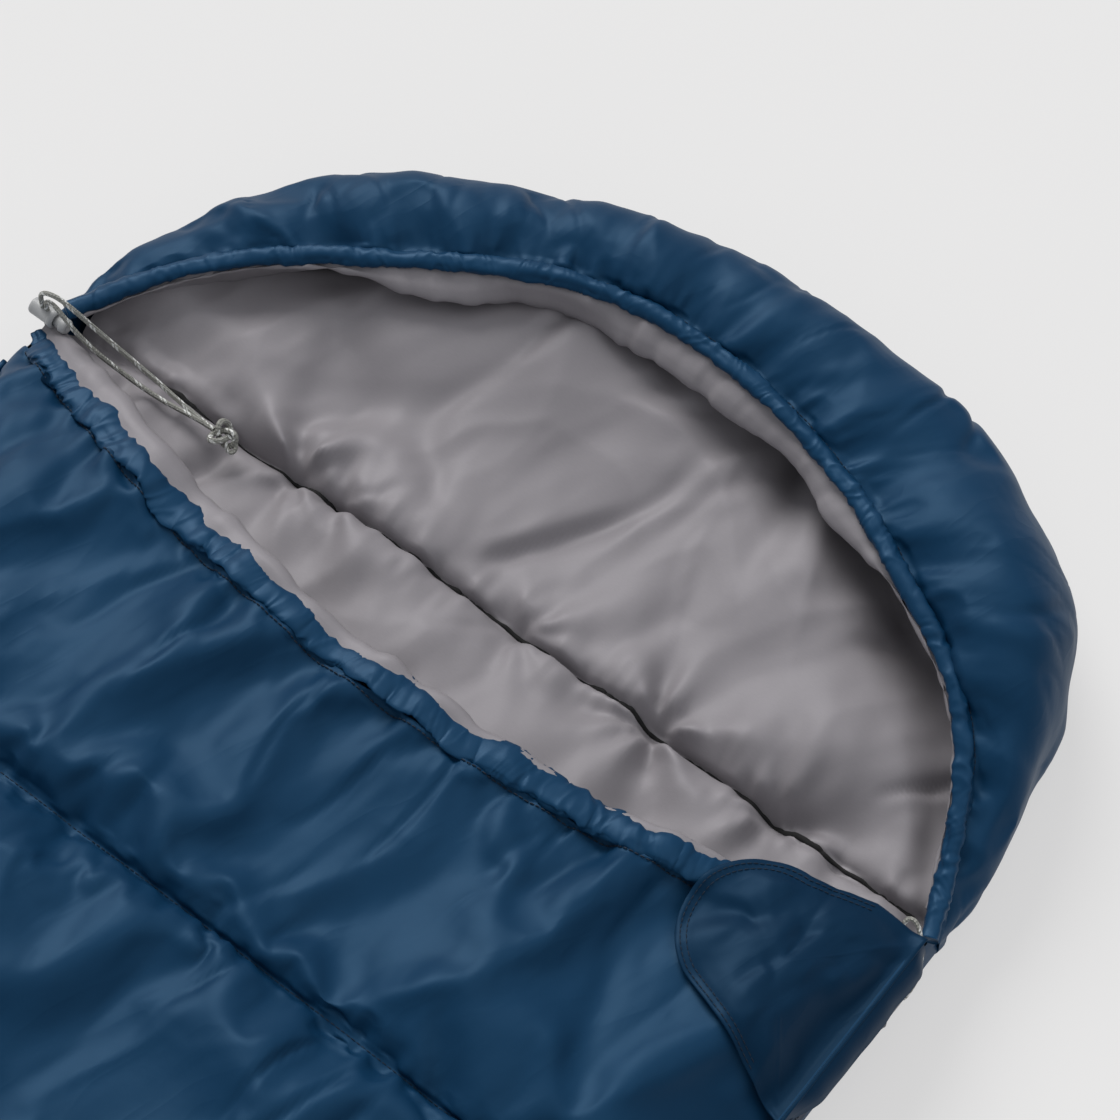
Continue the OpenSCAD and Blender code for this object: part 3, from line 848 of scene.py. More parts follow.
def lining_shape():
    """The lining of the back and the hood as one sheet, drawn in along the neck seam."""
    s = np.linspace(-1, 1, LINING_COLS)[None, :]
    x = s * lining_half(lining_rows)[:, None]
    y = np.broadcast_to(lining_rows[:, None], x.shape)
    ahead = np.maximum(y - NECK, 0)
    limit = hood_outer(np.arctan2(ahead, x)) - 0.002 - 0.026 * smooth(0.0, 0.10, ahead)
    inside = np.minimum(1, limit / np.maximum(np.hypot(x, ahead), 1e-6))
    x = np.where(ahead > 0, x * inside, x)
    y = np.where(ahead > 0, NECK + ahead * inside, y)
    z = np.full_like(x, LINING_Z)
    z -= 0.005 * near(y - NECK_SEAM, 0.0045) + 0.011 * near(y - NECK_SEAM, 0.028)
    rim = np.hypot(x, y - NECK) - hood_mouth(np.arctan2(np.maximum(y - NECK, 0), x))
    zip_side = smooth(-0.10, 0.22, x)
    z -= 0.017 * zip_side * smooth(-0.045, 0.025, rim) * smooth(0.01, 0.06, y - NECK)
    rise = smooth(-0.13, -0.01, rim) * (1 - smooth(0.015, 0.06, rim))
    z += 0.024 * (1 - zip_side) * rise * smooth(0.01, 0.07, y - NECK)
    z -= seam_dip(y, 0.012, 0.025)
    z += 0.006 * (1 - s**2)
    ahead = smooth(0.0, 0.10, y - NECK)
    z += ahead * (0.0165 * folds(x, y, 40, 0.10, 0.26, 51) + 0.0100 * folds(x, y, 75, 0.055, 0.20, 52))
    z += 0.0120 * ahead * smooth(0.0, 0.13, x) * folds(x, y, 106, 0.050, 0.22, 54)
    to_right = np.arctan2(y - NECK + 0.02, HALF_W - x)
    to_left = np.arctan2(y - NECK + 0.02, HALF_W + x)
    z += 0.020 * near(np.hypot(HALF_W - x, y - NECK), 0.17) * noise(to_right, 3, 0.22, 53) * ahead
    z += 0.034 * near(np.hypot(HALF_W + x, y - NECK), 0.17) * noise(to_left, 3, 0.24, 57) * ahead
    z += pinched(x, y)
    short = near(y - NECK_SEAM, 0.045)
    z += 0.0070 * noise(x + 0.3 * (y - NECK_SEAM), (y - NECK_SEAM) * 0.25, 0.045, 55) * short
    z += 0.0085 * folds(x, y, 70, 0.060, 0.16, 59) * (1 - ahead) * smooth(0.0, 0.05, NECK_SEAM - y)
    return np.stack([x, y, z], -1)


lining_grid = lining_shape()
lining_pin = pinned(lining_grid, from_quilt(lining_rows) < 1e-6)
lining_pin[neck_row] = True
LINING_JOB = cloth("lining", lining_grid, lining_pin, 0.030, 0.3, 0.010)

SIMULATED = run_cloth()

# ---- finished sheets with fine detail


def finish_front():
    """Gathers at the seams and creases between them, on the simulated shell."""
    grid = upsample(SIMULATED[FRONT_JOB])
    rest = upsample(front_grid)
    x, y = rest[..., 0], rest[..., 1]
    n = normals(grid)
    n *= np.sign(n[..., 2].sum())
    detail = 0
    for k, quilt in enumerate(QUILT_Y):
        off = y - quilt
        detail += pucker(x, off, 0.013, 0.0032, 0.013, 61 + k)
        detail += pucker(x + 0.3 * off, off, 0.036, 0.0032, 0.030, 65 + k)
        detail -= 0.0022 * near(off, 0.0022)
    to_edge = (front_edge(x) - HEM_BACK) - y
    detail += pucker(x, to_edge, 0.016, 0.0032, 0.012, 71)
    detail += pucker(x - 0.25 * to_edge, to_edge, 0.050, 0.0036, 0.028, 73)
    to_quilt = from_quilt(y)
    open_ = smooth(0.004, 0.03, to_quilt)
    detail += 0.0013 * open_ * folds(x, y, 70, 0.026, 0.12, 77)
    lines = creases(x, y, 69, 0.060, 0.17, 78, 0.20) + 0.7 * creases(x, y, 76, 0.034, 0.11, 79, 0.20)
    detail -= 0.0046 * open_ * lines
    radial = creases(x, y, 84, 0.026, 0.12, 80, 0.20) * near(np.maximum(to_edge, 0), 0.07)
    detail -= 0.0050 * radial * smooth(0.0, 0.006, to_edge)
    wild = near(np.hypot(x + HALF_W, y - NECK), 0.10)
    detail += 0.0045 * wild * noise(x * 1.2, y * 0.6, 0.020, 75)
    detail = detail * smooth(FRONT_Z + 0.004, FRONT_Z + 0.02, rest[..., 2])
    grid = grid + n * detail[..., None]
    grid[..., 2] = np.minimum(grid[..., 2], LOFT)
    return grid


def finish_hood():
    """Gathers at the stitch line and creases round the side, on the simulated cover."""
    grid = upsample(SIMULATED[HOOD_JOB])
    place, away = np.meshgrid(*(np.linspace(0, 1, size) for size in grid.shape[:2]), indexing="ij")
    place, away = place * math.pi * 0.33, away * 0.22
    n = normals(grid)
    n *= np.sign(n[..., : grid.shape[1] // 3, 2].sum())
    detail = pucker(place, away, 0.016, 0.0026, 0.011, 81)
    detail += pucker(place + 0.2 * away, away, 0.060, 0.0040, 0.030, 83)
    side = smooth(0.0, 0.1, away) * (1 - smooth(0.16, 0.20, away))
    ends = near(place, 0.16) + near(place.max() - place, 0.30)
    detail += 0.0032 * side * (0.35 + ends) * folds(place, away, 75, 0.026, 0.11, 85)
    lines = creases(place, away, 72, 0.030, 0.12, 87) + 0.7 * creases(place, away, 104, 0.018, 0.08, 88)
    detail -= 0.0030 * side * lines
    far_end = smooth(0.60, 0.78, place / place.max())
    slanted = creases(place, away, 122, 0.024, 0.12, 89, 0.24)
    slanted += 0.35 * folds(place, away, 122, 0.014, 0.10, 84)
    detail -= 0.0040 * side * far_end * slanted * (1 - smooth(0.050, 0.080, away))
    grid = grid + n * detail[..., None]
    grid[..., 2] = np.clip(grid[..., 2], GROUND, LOFT)
    return grid


def finish_lining():
    """The neck seam's groove and gathers, and the creases on either side of it."""
    grid = upsample(SIMULATED[LINING_JOB])
    rest = upsample(lining_grid)
    x, y = rest[..., 0], rest[..., 1]
    off = y - NECK_SEAM
    detail = pucker(x, off, 0.014, 0.0045, 0.013, 91)
    detail += pucker(x + 0.3 * off, off, 0.036, 0.0062, 0.030, 92)
    groove = 0.0070 + 0.0030 * noise(x, 0, 0.020, 96)
    detail -= groove * near(off, 0.0040)
    detail += 0.0022 * folds(x, y, 62, 0.022, 0.08, 93) * smooth(0.0, 0.03, np.abs(off))
    lines = creases(x, y, 78, 0.070, 0.15, 94, 0.24) + 0.7 * creases(x, y, 52, 0.050, 0.12, 98, 0.22)
    detail -= 0.0100 * lines * smooth(0.0, 0.02, np.abs(off))
    zip_side = smooth(0.0, 0.10, x)
    deep = 0.0130 * zip_side * creases(x, y, 106, 0.060, 0.16, 421, 0.22)
    deep += 0.0110 * (1 - zip_side) * creases(x, y, 62, 0.070, 0.15, 437, 0.22)
    detail -= deep * smooth(0.008, 0.045, off)
    for k, quilt in enumerate(QUILT_Y):
        detail += pucker(x, y - quilt, 0.012, 0.0022, 0.013, 95 + k)
    grid[..., 2] += detail
    return grid


FRONT = finish_front()
HOOD = finish_hood()
LINING = finish_lining()

front_shell = dress(grid_object("front_shell_cloth", FRONT, flip=True), NAVY)
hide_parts("front_shell", "front_fill")
hood_cover = dress(grid_object("hood_cover_cloth", HOOD), NAVY)
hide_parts("hood_rim_shell", "hood_rim_fill")
lining = dress(grid_object("back_and_hood_lining", LINING, flip=True), GREY)
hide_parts("back_lining", "hood_pad_lining", "back_fill", "hood_pad_fill")


def tree_over(grid):
    """For finding the height of a sheet under a point."""
    faces = grid_faces(*grid.shape[:2])
    return BVHTree.FromPolygons([tuple(v) for v in grid.reshape(-1, 3)], faces.tolist())


def tree_of(obj):
    """The same for a finished mesh."""
    mesh = obj.data
    return BVHTree.FromPolygons([v.co[:] for v in mesh.vertices], [p.vertices[:] for p in mesh.polygons])


FRONT_TREE = tree_over(FRONT)
LINING_TREE = tree_over(LINING)


def top_of(tree, x, y, fallback):
    """Height of a surface under a point."""
    hit = tree.ray_cast(Vector((x, y, 0.5)), Vector((0, 0, -1)))[0]
    return hit.z if hit is not None else fallback


# ---- hems: drawcord casings


HEM_SIDES, HEM_WILD = 32, 0.20


def hem_radius(path, base, seed):
    """A gathered casing's radius round and along it: sharp slanting pleats of uneven width."""
    along = run_of(path)[:, None]
    angle = np.linspace(0, 2 * math.pi, HEM_SIDES, endpoint=False)[None, :]
    lean = 0.0060 * np.sin(angle + 5 * noise(along, 0, 0.04, seed + 1))
    pleat = 0.45 - np.abs(noise(along + lean, angle * 0.0010, 0.011, seed)) * 1.5
    fine = 0.45 - np.abs(noise(along - lean, angle * 0.0015, 0.0055, seed + 3)) * 1.5
    long_ = noise(along * 0.25, angle * 0.0100, 0.0085, seed + 4)
    lumps = noise(along, 0, 0.030, seed + 2)
    return base * (1 + HEM_WILD * (0.9 * pleat + 0.6 * fine + 0.9 * long_ + 0.35 * lumps))


def front_hem_path():
    """Along the front shell's end, at its height."""
    x = np.linspace(-HALF_W + 0.004, HALF_W - 0.008, 760)
    y = front_edge(x) - HEM_BACK * 0.57
    seam = FRONT[-1]
    order = np.argsort(seam[:, 0])
    z = np.interp(x, seam[order, 0], seam[order, 2])
    z = np.maximum(z, 0.074) + 0.0004
    y = y + 0.0024 * noise(x, 0, 0.034, 101) + 0.0012 * noise(x, 0, 0.012, 102)
    z = z + 0.0022 * noise(x, 0, 0.026, 103)
    return np.stack([x, y, z], 1)


FRONT_HEM_PATH = front_hem_path()
FRONT_HEM_R = 0.0122
from_left, from_right = FRONT_HEM_PATH[:, :1] + HALF_W, HALF_W - FRONT_HEM_PATH[:, :1]
left_ruche = 1 + 1.3 * near(from_left, 0.07)
front_radius = FRONT_HEM_R + (hem_radius(FRONT_HEM_PATH, FRONT_HEM_R, 105) - FRONT_HEM_R) * left_ruche
front_radius *= 0.25 + 0.75 * smooth(0, 0.020, from_left) * smooth(0, 0.016, from_right)
front_hem = tube_object("front_hem_casing", FRONT_HEM_PATH, front_radius, HEM_SIDES, squeeze=0.30)
dress(front_hem, NAVY_HEM)
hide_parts("front_hem", "front_drawcord")


def hood_hem_path():
    """Round the face opening, a little outside its edge."""
    t = np.linspace(-0.028, math.pi - 0.004, 900)
    r = hood_mouth(t) + 0.0044
    z = mouth_z(t) + 0.001
    r = r + 0.0012 * noise(t * RIM_R, 0, 0.030, 111)
    z = z + 0.0012 * noise(t * RIM_R, 0, 0.024, 113)
    return polar(t, r, z)


HOOD_HEM_PATH = hood_hem_path()
hood_radius = hem_radius(HOOD_HEM_PATH, 0.0068, 115)
hood_hem = tube_object("hood_hem_casing", HOOD_HEM_PATH, hood_radius, HEM_SIDES, squeeze=0.70)
dress(hood_hem, NAVY_HEM)
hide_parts("hood_hem", "hood_drawcord")

# ---- lining under the rim


def rim_lining_shape():
    """From the hem in and down in a curled strip, then back under the rim to the pad."""
    grid = []
    for t in np.linspace(0.02, math.pi - 0.02, 301):
        r0, z0 = float(hood_mouth(t)), float(mouth_z(t))
        outer = float(hood_outer(t))
        open_ = float(smooth(0.52, 0.95, t) * (1 - smooth(2.35, 2.75, t)))
        curl = (0.010 + 0.006 * float(noise(t * RIM_R, 0.0, 0.06, 121))) * open_
        drop = (0.030 + 0.006 * float(noise(t * RIM_R, 0.0, 0.09, 123))) * open_ + 0.004
        room = max(outer - r0 - 0.045, 0.004)
        wall = r0 + room
        points = [
            (r0 + 0.006, z0 - 0.002), (r0 - 0.003, z0 - 0.005), (r0 - 0.003 - curl * 0.7, z0 - 0.35 * drop),
            (r0 - 0.003 - curl, z0 - 0.65 * drop), (r0 + 0.001 - curl * 0.4, z0 - drop),
            (r0 + 0.012 * open_, z0 - drop * 1.12), (r0 + room * 0.45, max(z0 - 0.036, 0.066)),
            (r0 + room * 0.8, max(z0 - 0.040, 0.064)), (wall, 0.062), (wall + 0.004, 0.054)]
        curve = spline([(*p, 0) for p in points], 46)
        grid.append(polar(t, curve[:, 0], np.maximum(curve[:, 1], 0.050)))
    grid = np.array(grid)
    arc = np.linspace(0, math.pi, 301)[:, None] * 0.31
    step = np.linspace(0, 1, 46)[None, :]
    n = normals(grid)
    ripple = 0.0022 * noise(arc, step * 0.03, 0.022, 127) + 0.0012 * noise(arc, step * 0.02, 0.010, 129)
    fade = smooth(0.0, 0.08, step) * (1 - smooth(0.85, 1.0, step))
    return grid + n * (ripple * fade)[..., None]


rim_lining = dress(grid_object("hood_rim_lining_cloth", upsample(rim_lining_shape())), GREY)
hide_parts("hood_rim_lining")

# ---- front lining


def front_lining_shape():
    """From the front hem over its inner edge, down and under the panel to the foot."""
    xs = np.linspace(-HALF_W + 0.006, HALF_W - 0.006, 121)
    grid = []
    for x in xs:
        edge, top = (float(np.interp(x, FRONT_HEM_PATH[:, 0], FRONT_HEM_PATH[:, k])) for k in (1, 2))
        left = float((1 - smooth(-0.26, 0.06, x)) * smooth(-HALF_W - 0.01, -HALF_W + 0.05, x))
        roll = 0.0055 + 0.012 * left + 0.003 * float(noise(x, 0.0, 0.05, 131))
        e = max(1 - abs(x / HALF_W) ** 2.2, 0.0)
        roof = FRONT_Z + 0.0015 + 0.020 * e
        lip = [(edge + 0.004, top + 0.001), (edge + 0.008 + roll * 0.6, top + 0.001 * left),
               (edge + 0.009 + roll, top - 0.008), (edge + 0.006 + roll * 0.8, top - 0.018 * (0.4 + e)),
               (edge - 0.006, min(top - 0.022 * (0.5 + e), roof + 0.006)), (edge - 0.040, roof)]
        curve = spline([(x, a, max(b, FRONT_Z - 0.001)) for a, b in lip], 30)
        back = np.linspace(edge - 0.052, FOOT + 0.003, 110)
        fall = foot_fall(back, 0.11, 2.2)
        puff = 0.004 * fbm(x, back * 0.5, 0.06, 135) * e * smooth(FOOT + 0.003, FOOT + 0.06, back)
        z = FRONT_Z + 0.001 + (roof - FRONT_Z) * fall + puff - seam_dip(back, -0.006, 0.03) * e
        half = side_x(back) - 0.003
        grid.append(np.concatenate([curve, np.stack([x / HALF_W * half, back, z], 1)]))
    grid = np.array(grid)
    n = normals(grid[:, :30])
    along = xs[:, None]
    step = np.linspace(0, 1, 30)[None, :]
    ripple = 0.0028 * noise(along, step * 0.03, 0.026, 137) + 0.0014 * noise(along, step * 0.02, 0.012, 139)
    grid[:, :30] += n * (ripple * smooth(0, 0.1, step) * (1 - smooth(0.7, 1, step)))[..., None]
    return grid


front_lining = dress(grid_object("front_lining_cloth", front_lining_shape()), GREY)
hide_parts("front_lining")

# ---- zip flap
FLAP_X, FLAP_R = 0.305, 0.056
FLAP_TOP, FLAP_LOW = NECK - 0.022, NECK - 0.176
HEM_TREE = tree_of(front_hem)


def flap_outline(inset=0.0):
    """The flap's edge in plan: the straight side lies along the zip."""
    side = HALF_W + 0.0035
    arc = np.linspace(math.radians(92), math.radians(242), 44)
    centre_y = FLAP_TOP - FLAP_R - 0.010
    radius = FLAP_R - inset
    rounded = np.stack([FLAP_X + radius * np.cos(arc), centre_y + radius * np.sin(arc)], 1)
    top = [(side, FLAP_TOP + 0.006 - inset), (0.345, FLAP_TOP + 0.004 - inset)]
    low = [(0.352 - inset * 0.3, FLAP_LOW + 0.012 + inset), (side, FLAP_LOW + 0.001 + inset)]
    return np.concatenate([top, rounded, low])


def flap_height(x, y):
    """The flap lies on the panel and its hem, and never below the line of its side seam."""
    best = 0.0
    for tree in (FRONT_TREE, HEM_TREE):
        for dx, dy in ((0, 0), (0.006, 0), (-0.006, 0), (0, 0.006), (0, -0.006)):
            best = max(best, top_of(tree, x + dx, y + dy, 0.0))
    arch = 0.081 + (CROWN - 0.081) * (1 - (x / HALF_W) ** 2)
    return max(best, arch - 0.004) if x < HALF_W - 0.004 else max(0.0823, min(best, 0.088))


def make_flap():
    """Rings from near the middle out to the edge, over the rim and back underneath."""
    edge = resample(np.concatenate([flap_outline(), flap_outline()[:1]]), 181)[:-1]
    centre = np.array([0.325, (FLAP_TOP + FLAP_LOW) / 2])
    rings = 26
    away = np.linspace(0.03, 1, rings)[:, None]
    plan = centre + (edge - centre) * away[..., None]
    z = np.array([[flap_height(*p) for p in ring] for ring in plan])
    for _ in range(3):
        z[1:-1] = (z[:-2] + z[2:] + 2 * z[1:-1]) / 4
        z = (np.roll(z, 1, 1) + np.roll(z, -1, 1) + 2 * z) / 4
    calm = smooth(4, 1, np.arange(rings))[:, None]
    z = z * (1 - calm) + z[:4].mean() * calm
    z += 0.0056 - 0.0032 * smooth(0.55, 0.95, away)
    x, y = plan[..., 0], plan[..., 1]
    ripple = 0.0052 * np.abs(folds(x, y, 84, 0.036, 0.11, 151))
    ripple += 0.0034 * creases(x, y, 66, 0.034, 0.09, 153, 0.3)
    z += ripple * (1 - 0.8 * smooth(HALF_W - 0.03, HALF_W, x))
    z -= 0.0009 * smooth(0.80, 0.90, away) * (1 - smooth(0.93, 1.0, away))
    top = np.concatenate([plan, z[..., None]], 2)
    rim = top[-1:].copy()
    rim[..., :2] = centre + (rim[..., :2] - centre) * 1.006
    rim[..., 2] -= 0.0007
    under = top[::-1].copy()
    under[..., 2] -= 0.0016
    grid = np.concatenate([top, rim, under])
    count = grid.shape[1]
    faces = grid_faces(len(grid), count, closed=True, flip=True).tolist()
    verts = grid.reshape(-1, 3)
    verts = np.concatenate([verts, [top[0].mean(0)], [under[-1].mean(0)]])
    last = (len(grid) - 1) * count
    for k in range(count):
        faces.append([(k + 1) % count, k, len(verts) - 2])
        faces.append([last + k, last + (k + 1) % count, len(verts) - 1])
    return make_object("zip_flap_cloth", verts, faces)


# The flap wears the darker satin, with its painted shade.
flap = dress(make_flap(), SHADED_FLAP_NAVY)
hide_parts("zip_flap")
FLAP_TREE = tree_of(flap)


def draped(tree, plan, lift=0.0003):
    """A plan path laid on a surface."""
    path = [(p[0], p[1], top_of(tree, p[0], p[1], -1)) for p in plan]
    path = np.array([p for p in path if p[2] > 0])
    path[:, 2] += lift
    return path


def patch(name, tree, lift, body, node):
    """A hook-and-loop patch laid on a surface."""
    low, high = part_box(node)
    x, y = np.meshgrid(*(np.linspace(low[k], high[k], n) for k, n in ((0, 14), (1, 18))), indexing="ij")
    z = np.array([[top_of(tree, a, b, low[2]) for a, b in zip(*row)] for row in zip(x, y)]) + lift
    top = np.stack([x, y, z], -1)
    top[1:-1, 1:-1, 2] += 0.0004
    obj = dress(grid_object(name, top), HOOK)
    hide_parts(node)
    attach(obj, body)


patch("loop_patch", FRONT_TREE, 0.0004, "front_panel", "flap_loop_patch")
patch("hook_patch", FLAP_TREE, -0.0034, "flap", "flap_hook_patch")
for k, inset in enumerate((0.0030, 0.0070)):
    plan = resample(flap_outline(inset)[1:-1], 260)
    row = dress(stitches(f"flap_stitch_{k}", draped(FLAP_TREE, plan)), THREAD)
    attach(row, "flap")
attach(flap, "flap")


def flap_root_shape():
    """The sewn edge of the flap: it leaves the flap's side and falls outside the zip."""
    y = np.linspace(FLAP_LOW + 0.004, FLAP_TOP + 0.003, 60)
    drop = [(-0.0030, 0.0838), (0.0025, 0.0842), (0.0066, 0.0820), (0.0104, 0.0768), (0.0130, 0.0692)]
    section = spline([(HALF_W + a, b, 0) for a, b in drop], 16)
    grid = np.array([[(p[0], place, p[1]) for p in section] for place in y])
    reach = (smooth(0, 0.035, y - y[0]) * (0.3 + 0.7 * smooth(0, 0.016, y[-1] - y)))[:, None]
    grid[..., 0] = HALF_W + (grid[..., 0] - HALF_W) * (0.25 + 0.75 * reach)
    step = np.linspace(0, 1, 16)[None, :]
    grid[..., 0] += 0.0007 * step * noise(grid[..., 1], step * 0.02, 0.014, 155)
    return grid


# The sewn edge wears the flap's darker satin, with its painted shade.
flap_root = dress(grid_object("flap_root_cloth", upsample(flap_root_shape())), SHADED_FLAP_NAVY)
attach(flap_root, "front_panel")

# ---- seams and stitch lines
for k, quilt in enumerate(QUILT_Y):
    plan = np.stack([np.linspace(-0.366, 0.366, 500), np.full(500, quilt)], 1)
    thread = stitches(f"quilt_stitch_{k}", draped(FRONT_TREE, plan, 0.0002))
    dress(thread, THREAD)
    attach(thread, "front_panel")
hem_x = np.linspace(-0.372, 0.362, 700)
hem_plan = np.stack([hem_x, front_edge(hem_x) - HEM_BACK - 0.0040], 1)
hem_thread = stitches("front_hem_stitch", draped(FRONT_TREE, hem_plan, 0.0006), radius=0.00045)
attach(dress(hem_thread, THREAD), "front_panel")
hood_seam = HOOD[:, 1] + np.array([0, 0, 0.0002])
hood_thread = stitches("hood_hem_stitch", resample(hood_seam[8:-8], 700))
dress(hood_thread, THREAD)
# The neck seam: a fat near-black tube, partly the dark overlock thread and partly painted shadow of the
# seam's groove.
neck_x = np.linspace(-0.290, 0.360, 600)
neck_plan = np.stack([neck_x, NECK_SEAM + 0.0007 * noise(neck_x, 0, 0.006, 99)], 1)
neck_path = draped(LINING_TREE, neck_plan, 0.0012)
neck_thread_shadow_radius = 0.0017 * (1 + 0.5 * noise(neck_path[:, :1], 0, 0.012, 90))
neck_thread_and_shadow = tube_object("neck_seam_thread_and_shadow", neck_path, neck_thread_shadow_radius, 8)
dress(neck_thread_and_shadow, SEAM_THREAD_AND_SHADOW)

# ---- zip, slider and pull
ZIP_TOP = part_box("zip_coil_back")[1][1]
ZIP_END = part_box("zip_coil_back")[0][0]


def zip_line(out, z):
    """Down the right side, round the foot corner and along the foot, at a distance outside the wall."""
    r = FOOT_R + out
    corner = np.linspace(0, -math.pi / 2, 30)
    points = [(HALF_W + out, ZIP_TOP), (HALF_W + out, FOOT + FOOT_R)]
    points += [(HALF_W - FOOT_R + r * math.cos(a), FOOT + FOOT_R + r * math.sin(a)) for a in corner[1:]]
    points.append((ZIP_END, FOOT - out))
    return np.array([(*p, z) for p in points])


COIL_PITCH, COIL_TURN = 0.0027, 7
COIL_OUT, COIL_R, WIRE_R = 0.0044, (0.00105, 0.00115), 0.00042


def coil(name, node, body):
    """A nylon coil: one wire turned along the tape's edge, with so many points to a turn."""
    line = zip_line(COIL_OUT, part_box(node)[0][2] + 0.00125)
    turns_ = int(run_of(line)[-1] / COIL_PITCH)
    line = resample(line, turns_ * COIL_TURN)
    side = np.cross(unit(np.gradient(line, axis=0)), UP)
    angle = np.arange(len(line)) * 2 * math.pi / COIL_TURN
    wire = line + side * (COIL_R[0] * np.cos(angle))[:, None]
    wire[:, 2] += COIL_R[1] * np.sin(angle)
    obj = dress(tube_object(name, wire, WIRE_R, 5), TEETH)
    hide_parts(node)
    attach(obj, body)


coil("zip_coil_low", "zip_coil_back", "base")
coil("zip_coil_high", "zip_coil_front", "front_panel")


def pull_loop():
    """The cord loop on the pull: it goes through the tab and lies up over the neck corner."""
    low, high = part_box("pull_cord_loop")
    through = np.array([(low[0] + high[0]) / 2, low[1] + 0.002, (low[2] + high[2]) / 2])
    points = through + np.array([
        (-0.0048, 0, 0), (-0.0050, 0.0140, 0.002), (-0.0100, 0.0260, 0.011), (-0.0180, 0.0345, 0.021),
        (-0.0250, 0.0385, 0.025), (-0.0300, 0.0370, 0.024), (-0.0290, 0.0310, 0.019),
        (-0.0200, 0.0245, 0.011), (-0.0100, 0.0130, 0.004)])
    path = spline(points, 60, closed=True)[:-1]
    return tube_object("pull_loop_cord", path, 0.00165, 10, closed=True)


loop = dress(pull_loop(), CORD)
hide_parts("pull_cord_loop")
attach(loop, "pull")

# ---- cord lock
(x0, low_y, low_z), (x1, high_y, high_z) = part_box("lock_barrel")
p1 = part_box("lock_plunger")[1][0]
p0 = x1 + 0.0045
LOCK_AT = np.array([0, (low_y + high_y) / 2, (low_z + high_z) / 2]) + LOCK_SHIFT
BARREL = [
    (x0 + 0.0015, 0.0), (x0, 0.0025), (x0, 0.0050), (x0 + 0.0005, 0.0059), (x0 + 0.0014, 0.0064),
    (x0 + 0.0030, 0.0065), (x1 - 0.0048, 0.0065), (x1 - 0.0042, 0.0071), (x1 - 0.0034, 0.0073),
    (x1 - 0.0020, 0.0073), (x1 - 0.0012, 0.0071), (x1 - 0.0006, 0.0065), (x1, 0.0062), (x1, 0.0049),
    (x1 - 0.0030, 0.0046)]
PLUNGER = [
    (x1 - 0.0006, 0.0), (x1 - 0.0006, 0.0042), (p0, 0.0043), (p0 + 0.0002, 0.0052), (p0 + 0.0008, 0.0056),
    (p1 - 0.0016, 0.0056), (p1 - 0.0005, 0.0051), (p1, 0.0040), (p1 - 0.0005, 0.0026), (p1 - 0.0012, 0.0)]
for node, profile, body in (("lock_barrel", BARREL, "cord_lock"), ("lock_plunger", PLUNGER, "plunger")):
    turned_part = dress(lathe(node + "_shape", profile, LOCK_AT), LOCK)
    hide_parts(node)
    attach(turned_part, body)

# ---- piping on the closed side
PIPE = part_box("side_piping")
pipe_y = np.linspace(PIPE[0][1], PIPE[1][1], 500)
pipe_x = -HALF_W - 0.0030 + 0.0010 * noise(pipe_y, 0, 0.05, 171)
pipe_z = CROWN / 2 + 0.0012 * noise(pipe_y, 0, 0.07, 172)
piping = tube_object("side_piping_cord", np.stack([pipe_x, pipe_y, pipe_z], 1), 0.0026)
dress(piping, NAVY_HEM)
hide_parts("side_piping")
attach(piping, "base")

# ---- back shell: underside and sides


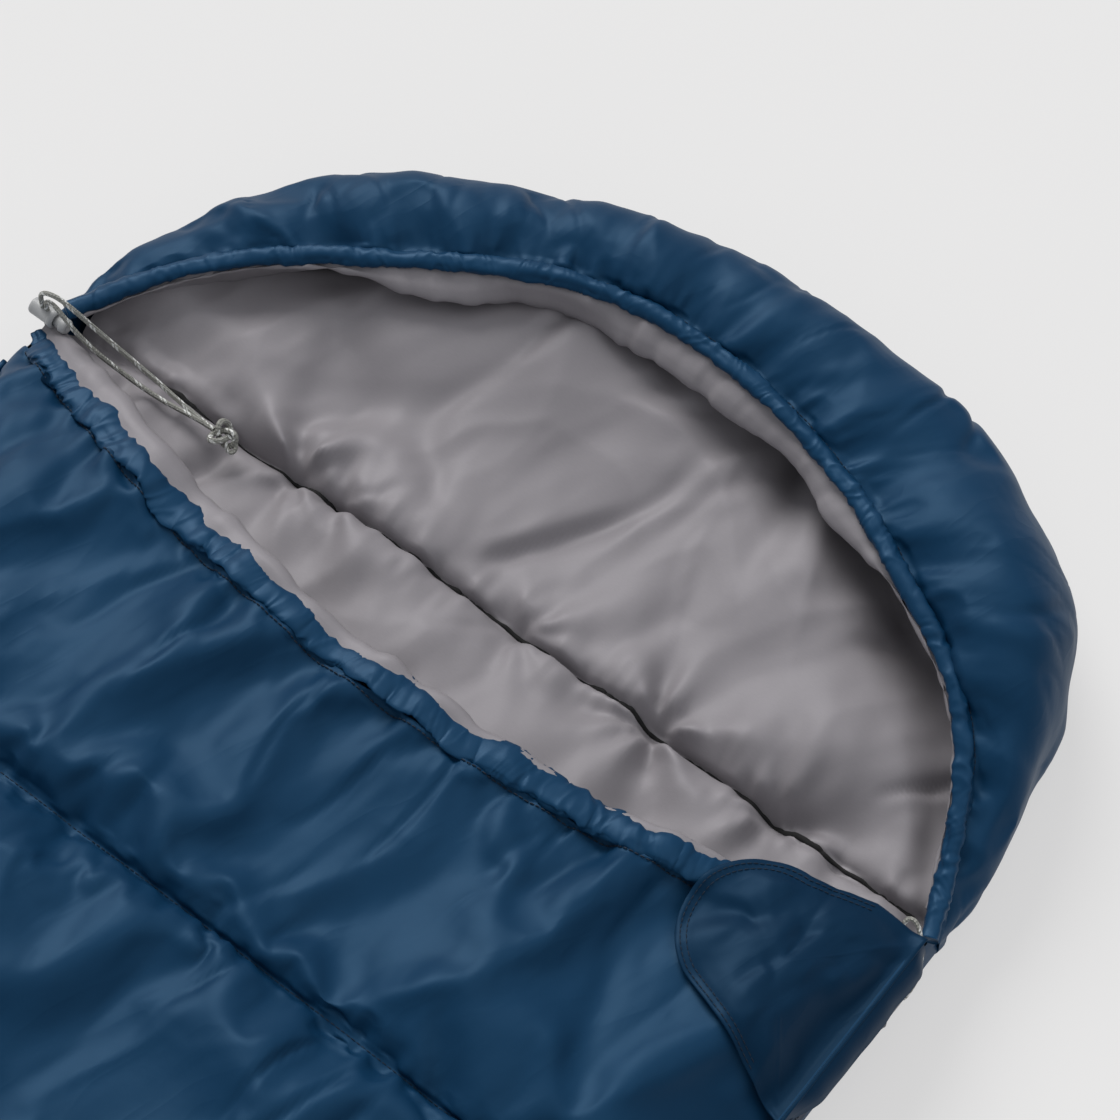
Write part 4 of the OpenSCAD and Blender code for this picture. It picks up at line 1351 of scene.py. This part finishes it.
def back_shape():
    """The base's cover: up the left side edge, under the bag, and up the right side edge."""
    foot_r, low_r, cols = 0.05, 0.040, 111
    rows = np.concatenate([np.linspace(FOOT + 0.002, FOOT + 0.06, 14, endpoint=False),
                           np.linspace(FOOT + 0.06, NECK, 150)])
    a = np.linspace(0, math.pi / 2, 20)
    grid = []
    for y in rows:
        half = float(side_x(y))
        end = float(1 - np.clip((FOOT + foot_r - y) / foot_r, 0, 1) ** 2)
        floor = 0.0015 + 0.046 * (1 - math.sqrt(max(end, 0)))
        z_side = np.linspace(BACK_EDGE, low_r + floor, 10, endpoint=False)
        bulge = (0.006 - 0.009 * near(from_quilt(y), 0.03)) * np.sin(np.linspace(0.1, 1.0, 10) * math.pi / 2)
        right = np.stack([half + bulge, z_side], 1)
        turn = np.stack([half + bulge[-1] - low_r + low_r * np.cos(a), floor + low_r - low_r * np.sin(a)], 1)
        half_curve = np.concatenate([right, turn, [[0, floor]]])
        left = half_curve[::-1][1:] * np.array([-1, 1])
        curve = resample(np.concatenate([half_curve, left]), cols)[::-1]
        grid.append(np.stack([curve[:, 0], np.full(cols, y), curve[:, 1]], 1))
    grid = np.array(grid)
    n = normals(grid)
    n *= -np.sign(n[:, cols // 2, 2].sum())
    y = grid[..., 1]
    around = np.linspace(0, 1, cols)[None, :] * 0.9
    free = smooth(0.004, 0.03, grid[..., 2]) * (1 - smooth(BACK_EDGE - 0.008, BACK_EDGE, grid[..., 2]))
    free = free * (1 - smooth(NECK - 0.05, NECK - 0.002, y))
    fold = 0.0035 * fbm(y, around, 0.05, 141) + 0.0016 * fbm(y, around, 0.02, 143)
    for k, quilt in enumerate(QUILT_Y):
        fold += pucker(around + 0 * y, y - quilt, 0.014, 0.003, 0.012, 145 + k)
    grid = grid + n * (free * fold)[..., None]
    grid[..., 2] = np.maximum(grid[..., 2], GROUND)
    # The zip's tape lies outside the cover.
    tape_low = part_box("zip_tape_back")[0][2]
    widest = side_x(y) + 0.0036 + 0.010 * (1 - smooth(tape_low - 0.012, tape_low, grid[..., 2]))
    grid[..., 0] = np.minimum(grid[..., 0], widest)
    return grid


back_cover = dress(grid_object("back_cover_cloth", back_shape()), NAVY)
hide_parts("back_shell")


def hood_floor_shape():
    """The hood's underside, closing the cover below."""
    centre = np.array([0, NECK, 0])
    grid = centre + (HOOD[:, -1][None] - centre) * np.linspace(1, 0, 30)[:, None, None]
    grid[..., 2] = 0.0012
    return grid


hood_floor = dress(grid_object("hood_underside_cloth", hood_floor_shape(), flip=True), NAVY)
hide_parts("hood_pad_shell")

# ---- CAD nodes that show, and how the soft pieces move


def repaint(node, mat):
    """Gives a CAD node that stays in view one of the materials above."""
    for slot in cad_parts[node].material_slots:
        slot.material = mat


for node_name in ("zip_tape_back", "zip_tape_front"):
    repaint(node_name, TAPE)
for node_name in ("zip_slider", "pull_tab", "zip_top_stop_back", "zip_top_stop_front",
                  "zip_bottom_stop_back", "zip_bottom_stop_front"):
    repaint(node_name, ZINC)
repaint("flap_seam", NAVY_HEM)

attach(front_shell, "front_panel")
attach(front_hem, "front_panel")
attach(front_lining, "front_panel")
for piece in (hood_cover, rim_lining, hood_hem, hood_thread, lining, neck_thread_and_shadow, back_cover, hood_floor):
    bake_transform(piece)
